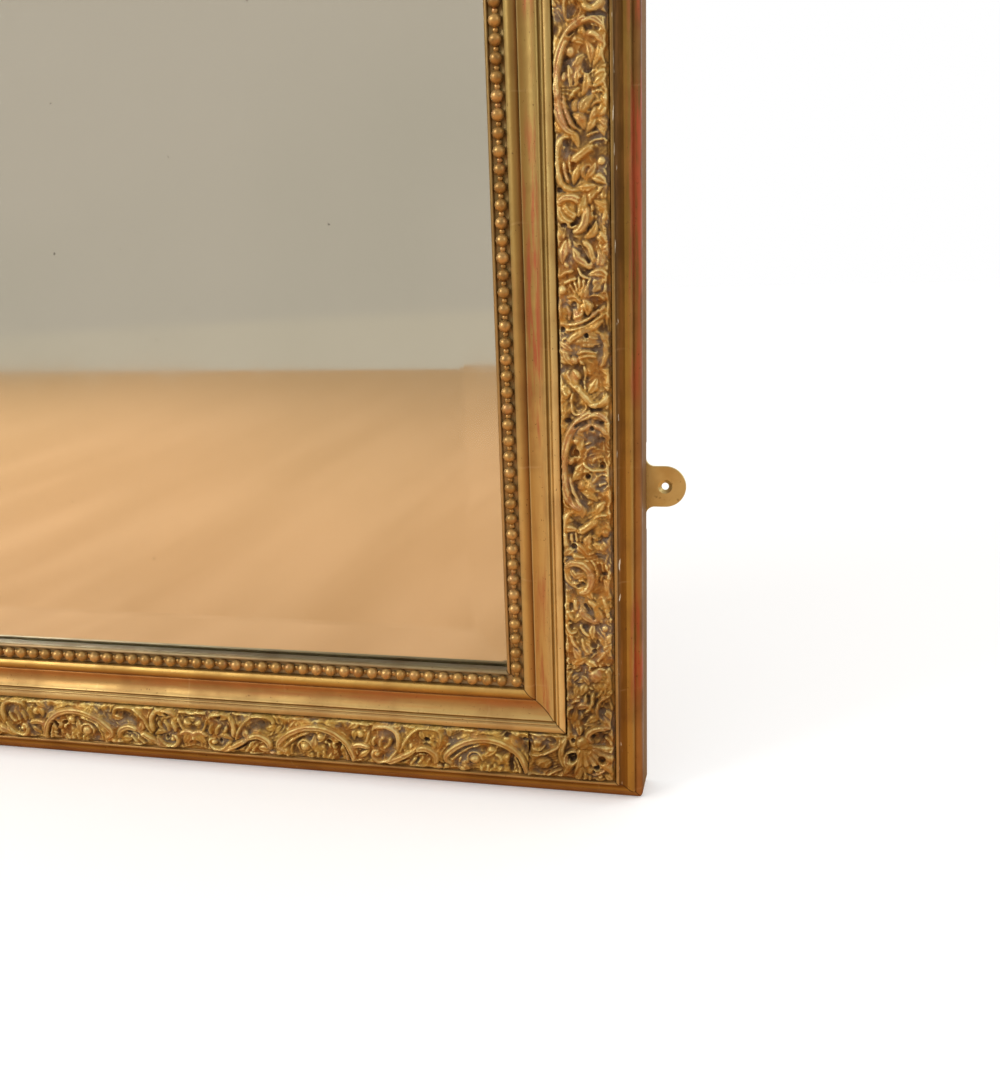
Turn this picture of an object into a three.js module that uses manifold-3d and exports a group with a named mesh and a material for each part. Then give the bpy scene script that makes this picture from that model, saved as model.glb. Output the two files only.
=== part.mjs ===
// Pier mirror: a gilt composition frame round a bevelled glass, with brass mirror plates.
// Millimetres, +Z up, the front faces -Y and the wall is the plane Y = 0.
// The origin lies on the wall plane, in the middle of the bottom rail's back.
//
// The frame is four sides. Each side is built lying along X and turned about the frame's centre.
// Across a side, "out" is measured outward from the row of pearls and "rise" forward from the wall.

import * as THREE from 'three';
import { mergeVertices } from 'three/addons/utils/BufferGeometryUtils.js';
import Module from 'manifold-3d';

const wasm = await Module();
wasm.setup();

// ---- Driving sizes ----

const OVERALL_WIDTH = 696;
const OVERALL_HEIGHT = 1301;
const CORNER_ROUND = 4.5;      // worn outer corners of the frame
const GAP = 0.3;               // between pieces that touch
const MITRE_GAP = 0.3;

// Carcass
const CARCASS_THICKNESS = 24;
const BOARD_REBATE_WIDTH = 10;
const BOARD_REBATE_DEPTH = 10;

// Widths of the members of the section, from the sight edge outward
const LIP_WIDTH = 2.7;
const CHANNEL_WIDTH = 9.9;
const OVOLO_WIDTH = 8.3;
const SCOOP_WIDTH = 13.6;
const BEAD_BAND_WIDTH = 4.2;
const FILLET_WIDTH = 4.8;
const GROUND_WIDTH = 35.4;
const OUTER_FILLET_WIDTH = 2.0;
const COVE_WIDTH = 5.2;
const BACK_OVOLO_WIDTH = 5.2;
const EDGE_ROUND_WIDTH = 5.2;
const QUIRK_WIDTH = 1.7;       // groove between the scoop and the small bead
const QUIRK_DEPTH = 0.8;
const SOFTENING = 0.4;         // edges under the gesso

// How far each round stands out of its chord, or each hollow lies below it
const LIP_ROUND = 0.6;
const OVOLO_ROUND = 1.7;
const SCOOP_HOLLOW = 2;
const BEAD_ROUND = 0.7;
const COVE_HOLLOW = 1.5;
const BACK_OVOLO_ROUND = 1;
const EDGE_ROUND = 0.9;

// Heights of the members above the front of the carcass
const REBATE_RISE = 4.5;       // underside of the lip, above the moulding's own back
const LIP_RISE = 14.2;
const CHANNEL_RISE = 11.3;
const ARRIS_RISE = 15.6;
const OVOLO_FOOT_RISE = 14.6;
const SCOOP_FOOT_RISE = 14.3;
const SCOOP_TOP_RISE = 18.5;
const FILLET_RISE = 19.5;
const GROUND_RISE = 17;
const COVE_FOOT_RISE = 12.4;
const BACK_OVOLO_FOOT_RISE = 7.4;
const EDGE_FOOT_RISE = 3.2;

// Pearls
const PEARL_PITCH = 11;
const PEARL_RADIUS = 4.2;
const PEARL_PROUD = 6.3;       // pearl above its seat on the channel's floor
const PEARL_OFFSET = 0.35;     // pearls nearer the sight edge than the channel's middle
const PEARL_FLAT = 0.55;       // flat top and ends of a pearl, as a share of its width
const NECK_RADIUS = 1.3;
const NECK_PROUD = 1.7;

// Frieze ornament
const ORNAMENT_BACKING = 1.6;  // thin sheet of composition that joins the scrolls
const ORNAMENT_RELIEF = 8;     // highest scroll above the ground
const ORNAMENT_MARGIN = 0.5;   // clear of the fillets on both sides
const SCROLL_WIDTH = 7;
const SCROLL_TIP = 0.5;        // width and height of a scroll's ends, as a share of its middle
const STILE_UNIT = 240;        // length of the stile's repeat before it is fitted
const STILE_FILLER = 38;       // leaves between the corner ornament and the first repeat
const PALMETTE_WIDTH = 50.7;   // ornament in the middle of a stile
const RAIL_UNIT = 134;
const CORNER_STILE_LEG = 54;   // corner ornament, from the ground's inner edge along the stile
const CORNER_RAIL_LEG = 28;

// Glass
const GLASS_THICKNESS = 6;
const GLASS_EDGE = 3;          // thickness left at the edge of the bevel
const BEVEL_WIDTH = 32;
const GLASS_LAP = 5.3;         // glass hidden behind the lip
const GLASS_CLEARANCE = 1;     // glass to the side of its rebate
const SILVERING_THICKNESS = 0.3;

// Backing
const BOARD_COUNT = 5;
const BOARD_THICKNESS = 8;
const BOARD_GAP = 0.6;
const BOARD_SETBACK = 1;       // back of the boards in front of the wall
const BOARD_BEVEL = 2;
const BLOCK_LENGTH = 50;
const BLOCK_WIDTH = 9;         // next to the silvering, and narrower at the boards
const BLOCK_BACK_WIDTH = 4;
const BLOCK_NOSE = 3;          // square part of a block next to the silvering
const STILE_BLOCKS = 3;
const RAIL_BLOCKS = 2;

// Mirror plates
const PLATE_THICKNESS = 2;
const PLATE_HEIGHT = 227;      // lower plates above the bottom edge; the upper ones as far from the top
const EAR_WIDTH = 29;
const EAR_REACH = 27.5;        // ear beyond the side of the frame
const SHOULDER_RADIUS = 6;
const TANG_LENGTH = 62;        // part let into the back of the stile
const TANG_WIDTH = 18;
const WALL_HOLE_RADIUS = 2.5;
const WALL_HOLE_SINK = 5;      // radius of its countersink
const WALL_HOLE_SIDES = 12;
const COUNTERSINK_SLOPE = 0.7; // depth of a countersink to its width
const SCREW_FROM_END = 11;     // from the end of the tang
const SCREW_FROM_SIDE = 9.5;   // from the side of the frame
const SCREW_RADIUS = 1.9;
const SCREW_HEAD_RADIUS = 3.7;
const SCREW_LENGTH = 16;
const SCREW_POINT = 3;
const SCREW_CLEARANCE = 0.3;
const SCREW_SIDES = 8;
const OVERCUT = 1;             // how far a cutting body runs past what it cuts

// ---- Places worked out from the driving sizes ----

// "out" of each line of the section; the pearls run along the middle of their channel
const sightOut = -LIP_WIDTH - CHANNEL_WIDTH / 2 + PEARL_OFFSET;
const channelIn = sightOut + LIP_WIDTH;
const channelOut = channelIn + CHANNEL_WIDTH;
const ovoloOut = channelOut + OVOLO_WIDTH;
const scoopOut = ovoloOut + SCOOP_WIDTH;
const beadBandOut = scoopOut + BEAD_BAND_WIDTH;
const innerMouldingOut = beadBandOut + FILLET_WIDTH;
const groundIn = innerMouldingOut + GAP;
const groundOut = groundIn + GROUND_WIDTH;
const outerFilletOut = groundOut + OUTER_FILLET_WIDTH;
const coveOut = outerFilletOut + COVE_WIDTH;
const backOvoloOut = coveOut + BACK_OVOLO_WIDTH;
const sideOut = backOvoloOut + EDGE_ROUND_WIDTH;

const glassOut = sightOut + GLASS_LAP;
const rebateOut = glassOut + GLASS_CLEARANCE;
const boardRebateOut = rebateOut + BOARD_REBATE_WIDTH;

const mouldingBase = CARCASS_THICKNESS + GAP;
const groundRise = CARCASS_THICKNESS + GROUND_RISE;
const lipUnderside = mouldingBase + REBATE_RISE;
const bevelRiseAtSight = (GLASS_THICKNESS - GLASS_EDGE) * GLASS_LAP / BEVEL_WIDTH;
const glassBack = lipUnderside - GAP - GLASS_EDGE - bevelRiseAtSight;
const silveringFront = glassBack - GAP;
const boardFront = BOARD_SETBACK + BOARD_THICKNESS;

// Half lengths of the rows of pearls, which meet at the corners
const halfWide = OVERALL_WIDTH / 2 - sideOut;
const halfHigh = OVERALL_HEIGHT / 2 - sideOut;
const railBackMiddle = (boardRebateOut + sideOut) / 2;

// ---- Materials ----

function finish(color, roughness, metalness) {
  return new THREE.MeshStandardMaterial({ color, roughness, metalness });
}

const gilding = finish(0xb8863f, 0.42, 0.7);
const rubbedGilding = finish(0xb07c3c, 0.5, 0.6);
const ornamentGilding = finish(0xa98245, 0.5, 0.6);
const pearlGilding = finish(0x946e3c, 0.38, 0.7);
const oldPine = finish(0x9b7447, 0.8, 0);
const glassFinish = finish(0xdfe6e2, 0.03, 0);
const silverFinish = finish(0xc9c6be, 0.05, 1);
const brass = finish(0xc9ab68, 0.32, 1);
const steel = finish(0x77736c, 0.45, 0.9);

// ---- Solids ----

function toManifold(geometry) {
  const bare = geometry.index ? geometry.toNonIndexed() : geometry.clone();
  bare.deleteAttribute('normal');
  bare.deleteAttribute('uv');
  const merged = mergeVertices(bare, 1e-4);
  return new wasm.Manifold(new wasm.Mesh({
    numProp: 3,
    vertProperties: Float32Array.from(merged.attributes.position.array),
    triVerts: Uint32Array.from(merged.index.array),
  }));
}

function toGeometry(manifold) {
  const mesh = manifold.getMesh();
  const geometry = new THREE.BufferGeometry();
  geometry.setAttribute('position', new THREE.BufferAttribute(mesh.vertProperties, 3));
  geometry.setIndex(new THREE.BufferAttribute(mesh.triVerts, 1));
  geometry.computeVertexNormals();
  return geometry;
}

function boxBetween(low, high) {
  const box = new THREE.BoxGeometry(high[0] - low[0], high[1] - low[1], high[2] - low[2]);
  box.translate((low[0] + high[0]) / 2, (low[1] + high[1]) / 2, (low[2] + high[2]) / 2);
  return box;
}

// A box on a side: along the side, by rise, by out
function sideBox(along, rise, out) {
  return boxBetween([along[0], -rise[1], -out[1]], [along[1], -rise[0], -out[0]]);
}

// Joins rings of points, all of one count, into a closed body. A ring goes round anticlockwise
// when looked at from the next one.
function loft(rings) {
  const count = rings[0].length;
  const positions = rings.flat(2);
  const index = [];
  for (let i = 0; i + 1 < rings.length; i += 1) {
    for (let j = 0; j < count; j += 1) {
      const a = i * count + j;
      const b = i * count + (j + 1) % count;
      index.push(a, b, b + count, a, b + count, a + count);
    }
  }
  const last = (rings.length - 1) * count;
  for (const [one, two, three] of capTriangles(rings[0])) {
    index.push(three, two, one);
  }
  for (const [one, two, three] of capTriangles(rings[rings.length - 1])) {
    index.push(last + one, last + two, last + three);
  }
  const geometry = new THREE.BufferGeometry();
  geometry.setAttribute('position', new THREE.Float32BufferAttribute(positions, 3));
  geometry.setIndex(index);
  geometry.computeVertexNormals();
  return geometry;
}

// Triangles over a flat ring, turned the way the ring goes round
function capTriangles(ring) {
  const points = ring.map((p) => new THREE.Vector3(...p));
  const normal = new THREE.Vector3();
  for (let i = 0; i < points.length; i += 1) {
    normal.add(points[i].clone().cross(points[(i + 1) % points.length]));
  }
  normal.normalize();
  const side = points[1].clone().sub(points[0]).normalize();
  const across = normal.clone().cross(side);
  const flat = points.map((p) => new THREE.Vector2(p.dot(side), p.dot(across)));
  return THREE.ShapeUtils.triangulateShape(flat, []);
}

// ---- Section of the mouldings: points [out, rise], going round from the back of the lip ----

function arc(from, to, sag, steps) {
  const [x0, y0] = from;
  const [x1, y1] = to;
  const chord = Math.hypot(x1 - x0, y1 - y0);
  const points = [];
  for (let i = 0; i <= steps; i += 1) {
    const t = i / steps;
    const bulge = 4 * sag * t * (1 - t);
    points.push([
      x0 + (x1 - x0) * t - (y1 - y0) / chord * bulge,
      y0 + (y1 - y0) * t + (x1 - x0) / chord * bulge,
    ]);
  }
  return points;
}

function innerSection() {
  const at = (out, rise, drop = 0) => [out, CARCASS_THICKNESS + rise - drop];
  const soft = SOFTENING;
  const beadIn = scoopOut + QUIRK_WIDTH;
  return [
    [rebateOut, mouldingBase],
    [rebateOut, lipUnderside],
    [sightOut, lipUnderside],
    ...arc(at(sightOut, LIP_RISE, 2), at(channelIn - soft, LIP_RISE), LIP_ROUND, 3),
    at(channelIn, CHANNEL_RISE),
    at(channelOut, CHANNEL_RISE),
    at(channelOut + soft, ARRIS_RISE, 2 * soft),
    ...arc(at(channelOut + 3 * soft, ARRIS_RISE), at(ovoloOut - soft, OVOLO_FOOT_RISE), OVOLO_ROUND, 5),
    at(ovoloOut, SCOOP_FOOT_RISE, soft),
    ...arc(at(ovoloOut + soft, SCOOP_FOOT_RISE), at(scoopOut, SCOOP_TOP_RISE), -SCOOP_HOLLOW, 7),
    at(beadIn, SCOOP_TOP_RISE, QUIRK_DEPTH),
    ...arc(at(beadIn + soft, SCOOP_TOP_RISE), at(beadBandOut - soft, SCOOP_TOP_RISE), BEAD_ROUND, 3),
    at(beadBandOut, FILLET_RISE),
    at(innerMouldingOut, FILLET_RISE),
    [innerMouldingOut, mouldingBase],
  ];
}

function outerSection() {
  const at = (out, rise, drop = 0) => [out, CARCASS_THICKNESS + rise - drop];
  const soft = SOFTENING;
  return [
    [groundIn, mouldingBase],
    [groundIn, groundRise],
    [groundOut, groundRise],
    at(groundOut + soft, FILLET_RISE),
    at(outerFilletOut, FILLET_RISE),
    ...arc(at(outerFilletOut + soft, FILLET_RISE, 2 * soft), at(coveOut, COVE_FOOT_RISE),
      -COVE_HOLLOW, 4),
    ...arc(at(coveOut + soft, COVE_FOOT_RISE), at(backOvoloOut, BACK_OVOLO_FOOT_RISE),
      BACK_OVOLO_ROUND, 4),
    at(backOvoloOut + soft, BACK_OVOLO_FOOT_RISE, QUIRK_DEPTH),
    ...arc(at(backOvoloOut + 2 * soft, BACK_OVOLO_FOOT_RISE, QUIRK_DEPTH / 2),
      at(sideOut, EDGE_FOOT_RISE), EDGE_ROUND, 4),
    [sideOut, mouldingBase],
  ];
}

// A mitred length of moulding, half as long at the pearls as halfRun says
function mitredLength(section, halfRun) {
  const shrink = MITRE_GAP / 2 * Math.SQRT2;
  const end = (sign) => section.map(([out, rise]) => [sign * (halfRun + out - shrink), -rise, -out]);
  return loft([end(-1), end(1)]);
}

// The frame's whole outline with worn corners, as a prism from the wall to past the front
function roundedOutline(halfRun, halfAcross) {
  const x = halfRun + sideOut;
  const z = halfAcross + sideOut;
  const shape = new THREE.Shape();
  shape.moveTo(x - CORNER_ROUND, -z);
  shape.absarc(x - CORNER_ROUND, -z + CORNER_ROUND, CORNER_ROUND, -Math.PI / 2, 0);
  shape.absarc(x - CORNER_ROUND, z - CORNER_ROUND, CORNER_ROUND, 0, Math.PI / 2);
  shape.absarc(-x + CORNER_ROUND, z - CORNER_ROUND, CORNER_ROUND, Math.PI / 2, Math.PI);
  shape.absarc(-x + CORNER_ROUND, -z + CORNER_ROUND, CORNER_ROUND, Math.PI, Math.PI * 1.5);
  const depth = groundRise + ORNAMENT_RELIEF;
  const prism = new THREE.ExtrudeGeometry(shape, { depth, bevelEnabled: false, curveSegments: 4 });
  // The shape's plane is turned upright, and its depth forward; its zero is the pearls' own line
  prism.rotateX(Math.PI / 2);
  prism.translate(0, 0, halfAcross);
  return toManifold(prism);
}

function innerMoulding(halfRun) {
  return mitredLength(innerSection(), halfRun);
}

function outerMoulding(halfRun, halfAcross) {
  const length = toManifold(mitredLength(outerSection(), halfRun));
  return toGeometry(length.intersect(roundedOutline(halfRun, halfAcross)));
}

// ---- Pearls: one string with a thin neck between the pearls ----

function stringRing(along, radius, proud) {
  const base = CARCASS_THICKNESS + CHANNEL_RISE + GAP;
  return [
    [along, -base, radius],
    [along, -base - proud, radius * PEARL_FLAT],
    [along, -base - proud, -radius * PEARL_FLAT],
    [along, -base, -radius],
  ];
}

function pearlString(halfRun, withCorners) {
  const count = Math.round(2 * halfRun / PEARL_PITCH);
  const pitch = 2 * halfRun / count;
  const shoulder = PEARL_RADIUS * PEARL_FLAT;
  const first = withCorners ? 0 : 1;
  const last = withCorners ? count : count - 1;
  const neck = (along) => stringRing(along, NECK_RADIUS, NECK_PROUD);
  const rings = [neck(-halfRun + first * pitch - PEARL_RADIUS)];
  for (let i = first; i <= last; i += 1) {
    const middle = -halfRun + i * pitch;
    rings.push(stringRing(middle - shoulder, PEARL_RADIUS, PEARL_PROUD));
    rings.push(stringRing(middle + shoulder, PEARL_RADIUS, PEARL_PROUD));
    rings.push(neck(i < last ? middle + pitch / 2 : middle + PEARL_RADIUS));
  }
  return loft(rings);
}

// ---- Frieze ornament: scrolls swept over a thin backing ----

const ornamentBase = groundRise + GAP;
const backingTop = ornamentBase + ORNAMENT_BACKING;
const friezeIn = groundIn + ORNAMENT_MARGIN;
const friezeOut = groundOut - ORNAMENT_MARGIN;

// A point on the frieze: along the run, across it from 0 at the inner edge to 1 at the outer
function onFrieze(along, across, rise) {
  return [along, -rise, -(friezeIn + (friezeOut - friezeIn) * across)];
}

// A ridge along a curve through the given [along, across] points, thin at its ends
function sweptRidge(points, width, relief, steps) {
  const vectors = points.map(([along, across]) => new THREE.Vector3(...onFrieze(along, across, 0)));
  const curve = new THREE.CatmullRomCurve3(vectors, false, 'centripetal');
  const base = ornamentBase + ORNAMENT_BACKING / 2;
  const rings = [];
  for (let i = 0; i <= steps; i += 1) {
    const t = i / steps;
    const here = curve.getPointAt(t);
    const direction = curve.getTangentAt(t);
    const swell = SCROLL_TIP + (1 - SCROLL_TIP) * Math.sin(Math.PI * t);
    const half = width / 2 * swell;
    const top = base + (relief - ORNAMENT_BACKING / 2) * swell;
    const side = [-direction.z, direction.x];
    const at = (offset, rise) => [here.x + side[0] * offset, -rise, here.z + side[1] * offset];
    rings.push([at(half, base), at(0, top), at(-half, base)]);
  }
  return loft(rings);
}

// The same shape seen over the mitre at the side's +X end, on the next side's frieze
function overMitre(geometry, halfRun) {
  const mirrored = geometry.clone();
  const positions = mirrored.attributes.position;
  for (let i = 0; i < positions.count; i += 1) {
    positions.setXYZ(i, halfRun - positions.getZ(i), positions.getY(i), halfRun - positions.getX(i));
  }
  const index = Array.from(mirrored.index.array);
  mirrored.setIndex(index.reverse());
  return mirrored;
}

// A fluted shell: lobes fan out from a point, over an arc of turn radians about the heading
function shell(centre, heading, turn, radius, relief, lobes) {
  const base = ornamentBase + ORNAMENT_BACKING / 2;
  const steps = lobes * 2;
  const [cx, , cz] = onFrieze(centre[0], centre[1], 0);
  const ringAt = (angle, reach, height) => {
    const x = Math.cos(angle);
    const z = Math.sin(angle);
    return [
      [cx, -base, cz],
      [cx + x * radius * 0.1, -(base + relief * 0.7), cz + z * radius * 0.1],
      [cx + x * radius * 0.65, -(base + relief * height), cz + z * radius * 0.65],
      [cx + x * radius * reach, -base, cz + z * radius * reach],
    ];
  };
  const rim = [];
  for (let i = 0; i <= steps; i += 1) {
    const angle = heading - turn / 2 + turn * i / steps;
    const ridge = i % 2 === 1;
    rim.push(ringAt(angle, ridge ? 1 : 0.8, ridge ? 1 : 0.55));
  }
  return toManifold(fanLoft(rim));
}

// Joins fan sections that all share their first point
function fanLoft(sections) {
  const positions = [sections[0][0]];
  const per = sections[0].length - 1;
  for (const section of sections) {
    positions.push(...section.slice(1));
  }
  const at = (i, j) => (j === 0 ? 0 : 1 + i * per + j - 1);
  const index = [];
  const last = sections.length - 1;
  for (let i = 0; i < last; i += 1) {
    for (let j = 0; j <= per; j += 1) {
      const k = (j + 1) % (per + 1);
      if (j !== 0) index.push(at(i, j), at(i, k), at(i + 1, j));
      if (k !== 0) index.push(at(i, k), at(i + 1, k), at(i + 1, j));
    }
  }
  for (let j = 1; j < per; j += 1) {
    index.push(0, at(0, j + 1), at(0, j));
    index.push(0, at(last, j), at(last, j + 1));
  }
  const geometry = new THREE.BufferGeometry();
  geometry.setAttribute('position', new THREE.Float32BufferAttribute(positions.flat(), 3));
  geometry.setIndex(index);
  return geometry;
}

function backing(from, to) {
  return toManifold(sideBox([from, to], [ornamentBase, backingTop], [friezeIn, friezeOut]));
}

// The motifs take the place of their corner-side end, the length they fill and the way they run.
// A scroll's points are [share of that length, share of the frieze's width].

function scroll(points, start, length, way, relief, steps) {
  const onRun = points.map(([share, across]) => [start + way * length * share, across]);
  return toManifold(sweptRidge(onRun, SCROLL_WIDTH, relief, steps));
}

function cScroll(start, length, way) {
  const points = [[0.03, 0.45], [0.12, 0.2], [0.45, 0.12], [0.8, 0.22], [0.96, 0.55], [0.92, 0.85]];
  return scroll(points, start, length, way, ORNAMENT_RELIEF, 5);
}

function sScroll(start, length, way) {
  const points = [[0.16, 0.93], [0.06, 0.7], [0.22, 0.25], [0.5, 0.2], [0.82, 0.4], [0.97, 0.85]];
  return scroll(points, start, length, way, ORNAMENT_RELIEF * 0.9, 5);
}

function volute(start, length, way) {
  const points = [[0.75, 0.12], [0.97, 0.3], [0.75, 0.55], [0.3, 0.55], [0.12, 0.36]];
  return scroll(points, start, length, way, ORNAMENT_RELIEF * 0.85, 4);
}

function leafArc(start, length, way) {
  const points = [[0.04, 0.45], [0.2, 0.16], [0.7, 0.13], [0.97, 0.28]];
  return scroll(points, start, length, way, ORNAMENT_RELIEF * 0.7, 3);
}

function shellLeaf(start, length, way) {
  const heading = way > 0 ? 0 : Math.PI;
  const radius = Math.min(length, (friezeOut - friezeIn) / 2) * 0.96;
  return shell([start + way * length * 0.1, 0.5], heading, Math.PI * 0.8, radius,
    ORNAMENT_RELIEF * 0.8, 3);
}

// The palmette in the middle of a stile opens inward from a boss, between two small scrolls
function palmette() {
  const half = PALMETTE_WIDTH / 2;
  const points = [[0.84, 0.14], [0.9, 0.38], [0.7, 0.6], [0.4, 0.62], [0.34, 0.4]];
  return [
    shell([0, 0.85], Math.PI / 2, Math.PI * 0.9, half, ORNAMENT_RELIEF * 0.75, 5),
    ...[-1, 1].map((way) => scroll(points, 0, half, way, ORNAMENT_RELIEF * 0.85, 4)),
  ];
}

const STILE_MOTIFS = [
  { make: volute, from: 14, length: 28 },
  { make: leafArc, from: 40, length: 34 },
  { make: cScroll, from: 74, length: 68 },
  { make: sScroll, from: 144, length: 58 },
  { make: shellLeaf, from: 204, length: 32 },
];
const RAIL_MOTIFS = [
  { make: cScroll, from: 0, length: 64 },
  { make: sScroll, from: 66, length: 46 },
  { make: leafArc, from: 113, length: 20 },
];

// Motifs repeated along a stretch, each repeat drawn out so that a whole number of them fits
function repeatMotifs(motifs, unit, from, to) {
  const way = Math.sign(to - from);
  const length = Math.abs(to - from);
  const count = Math.max(1, Math.round(length / unit));
  const fit = length / count / unit;
  const solids = [];
  for (let i = 0; i < count; i += 1) {
    for (const motif of motifs) {
      const start = from + way * (i * unit + motif.from) * fit;
      solids.push(motif.make(start, motif.length * fit, way));
    }
  }
  return solids;
}

// A stile's ornament runs from both corners to a palmette in the middle
function stileOrnament(halfRun) {
  const end = halfRun + groundIn - CORNER_STILE_LEG - GAP / 2;
  const solids = [backing(-end, end), ...palmette()];
  for (const way of [-1, 1]) {
    solids.push(
      shellLeaf(-way * end, STILE_FILLER, way),
      ...repeatMotifs(STILE_MOTIFS, STILE_UNIT, -way * (end - STILE_FILLER), -way * PALMETTE_WIDTH / 2),
    );
  }
  return toGeometry(wasm.Manifold.union(solids));
}

// A rail's ornament runs from both corners to the middle
function railOrnament(halfRun) {
  const end = halfRun + groundIn - CORNER_RAIL_LEG - GAP / 2;
  const solids = [
    backing(-end, end),
    ...repeatMotifs(RAIL_MOTIFS, RAIL_UNIT, end, 0),
    ...repeatMotifs(RAIL_MOTIFS, RAIL_UNIT, -end, 0),
  ];
  return toGeometry(wasm.Manifold.union(solids));
}

// The corner ornament lies over the mitre at the +X end of its side: an L of backing, a shell
// that opens to the outer corner, and a scroll along each leg
function cornerOrnament(halfRun, legBack, legOn) {
  const near = halfRun + friezeIn;
  const far = halfRun + friezeOut;
  const backEnd = halfRun + groundIn - legBack + GAP / 2;
  const onEnd = groundIn - legOn + GAP / 2;
  const across = far - near;
  const rises = [ornamentBase, backingTop];
  const legScroll = (end) => sweptRidge([[near + across * 0.3, 0.25], [near * 0.9 + end * 0.1, 0.2],
    [near * 0.4 + end * 0.6, 0.5], [near * 0.1 + end * 0.9, 0.8]],
  SCROLL_WIDTH, ORNAMENT_RELIEF * 0.85, 5);
  const solids = [
    toManifold(sideBox([backEnd, far], rises, [friezeIn, friezeOut])),
    toManifold(sideBox([near, far], rises, [onEnd, friezeIn + OVERCUT])),
    shell([near + across * 0.2, 0.2], -Math.PI / 4, Math.PI * 0.9, across * 0.78,
      ORNAMENT_RELIEF * 0.95, 5),
    toManifold(legScroll(backEnd)),
    toManifold(overMitre(legScroll(halfRun + onEnd), halfRun)),
  ];
  return toGeometry(wasm.Manifold.union(solids));
}

// ---- Mirror plates and their screws ----

// The outline in the wall plane, the side of the frame at X = 0 and the ear towards +X
function plateOutline() {
  const ear = EAR_WIDTH / 2;
  const shoulder = SHOULDER_RADIUS;
  const shape = new THREE.Shape();
  shape.moveTo(-TANG_WIDTH, -TANG_LENGTH / 2);
  shape.lineTo(-GAP, -TANG_LENGTH / 2);
  shape.lineTo(-GAP, -ear - shoulder);
  shape.absarc(shoulder - GAP, -ear - shoulder, shoulder, Math.PI, Math.PI / 2, true);
  shape.absarc(EAR_REACH - ear, 0, ear, -Math.PI / 2, Math.PI / 2);
  shape.absarc(shoulder - GAP, ear + shoulder, shoulder, -Math.PI / 2, -Math.PI, true);
  shape.lineTo(-GAP, TANG_LENGTH / 2);
  shape.lineTo(-TANG_WIDTH, TANG_LENGTH / 2);
  shape.closePath();
  return shape;
}

// A countersunk hole along Y: the wide end lies at wideY, and way points from there inward
function countersunkHole(x, z, radius, wideRadius, wideY, way, sides) {
  const sink = (wideRadius - radius) * COUNTERSINK_SLOPE;
  const profile = [
    new THREE.Vector2(0, -OVERCUT),
    new THREE.Vector2(wideRadius, -OVERCUT),
    new THREE.Vector2(wideRadius, 0),
    new THREE.Vector2(radius, sink),
    new THREE.Vector2(radius, PLATE_THICKNESS + OVERCUT),
    new THREE.Vector2(0, PLATE_THICKNESS + OVERCUT),
  ];
  const hole = new THREE.LatheGeometry(profile, sides);
  if (way < 0) hole.rotateX(Math.PI);
  hole.translate(x, wideY, z);
  return toManifold(hole);
}

const screwFromMiddle = TANG_LENGTH / 2 - SCREW_FROM_END;

function mirrorPlate() {
  const blank = new THREE.ExtrudeGeometry(plateOutline(), {
    depth: PLATE_THICKNESS, bevelEnabled: false, curveSegments: 6,
  });
  blank.rotateX(Math.PI / 2);
  let plate = toManifold(blank);
  const earHoleX = EAR_REACH - EAR_WIDTH / 2;
  plate = plate.subtract(countersunkHole(earHoleX, 0, WALL_HOLE_RADIUS, WALL_HOLE_SINK,
    -PLATE_THICKNESS, 1, WALL_HOLE_SIDES));
  for (const end of [-1, 1]) {
    plate = plate.subtract(countersunkHole(-SCREW_FROM_SIDE, end * screwFromMiddle,
      SCREW_RADIUS + SCREW_CLEARANCE, SCREW_HEAD_RADIUS + SCREW_CLEARANCE, 0, -1, SCREW_SIDES));
  }
  return toGeometry(plate);
}

function plateScrew() {
  const head = (SCREW_HEAD_RADIUS - SCREW_RADIUS) * COUNTERSINK_SLOPE;
  const profile = [
    new THREE.Vector2(0, 0),
    new THREE.Vector2(SCREW_HEAD_RADIUS, 0),
    new THREE.Vector2(SCREW_RADIUS, head),
    new THREE.Vector2(SCREW_RADIUS, SCREW_LENGTH - SCREW_POINT),
    new THREE.Vector2(0, SCREW_LENGTH),
  ];
  const screw = new THREE.LatheGeometry(profile, SCREW_SIDES);
  screw.rotateX(Math.PI);
  return toGeometry(toManifold(screw));
}

// ---- Carcass ----

// Cut-outs for the mirror plates and pilot holes for their screws, on a stile lying along X
function plateHousings(halfRun) {
  const middle = halfRun + sideOut - PLATE_HEIGHT;
  const cuts = [];
  for (const end of [-1, 1]) {
    const centre = end * middle;
    const half = TANG_LENGTH / 2 + GAP;
    cuts.push(toManifold(sideBox([centre - half, centre + half],
      [-OVERCUT, PLATE_THICKNESS + GAP], [sideOut - TANG_WIDTH - GAP, sideOut + OVERCUT])));
    for (const which of [-1, 1]) {
      const pilot = new THREE.CylinderGeometry(SCREW_RADIUS + SCREW_CLEARANCE,
        SCREW_RADIUS + SCREW_CLEARANCE, SCREW_LENGTH, SCREW_SIDES);
      pilot.translate(centre + which * screwFromMiddle, -SCREW_LENGTH / 2 - OVERCUT,
        SCREW_FROM_SIDE - sideOut);
      cuts.push(toManifold(pilot));
    }
  }
  return cuts;
}

function carcassBlank(halfRun, halfAcross) {
  const end = halfRun + sideOut;
  const blank = toManifold(sideBox([-end, end], [0, CARCASS_THICKNESS], [rebateOut, sideOut]));
  const boards = toManifold(sideBox([-halfRun - boardRebateOut, halfRun + boardRebateOut],
    [-OVERCUT, BOARD_REBATE_DEPTH], [rebateOut - OVERCUT, boardRebateOut]));
  return blank.subtract(boards).intersect(roundedOutline(halfRun, halfAcross));
}

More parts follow.
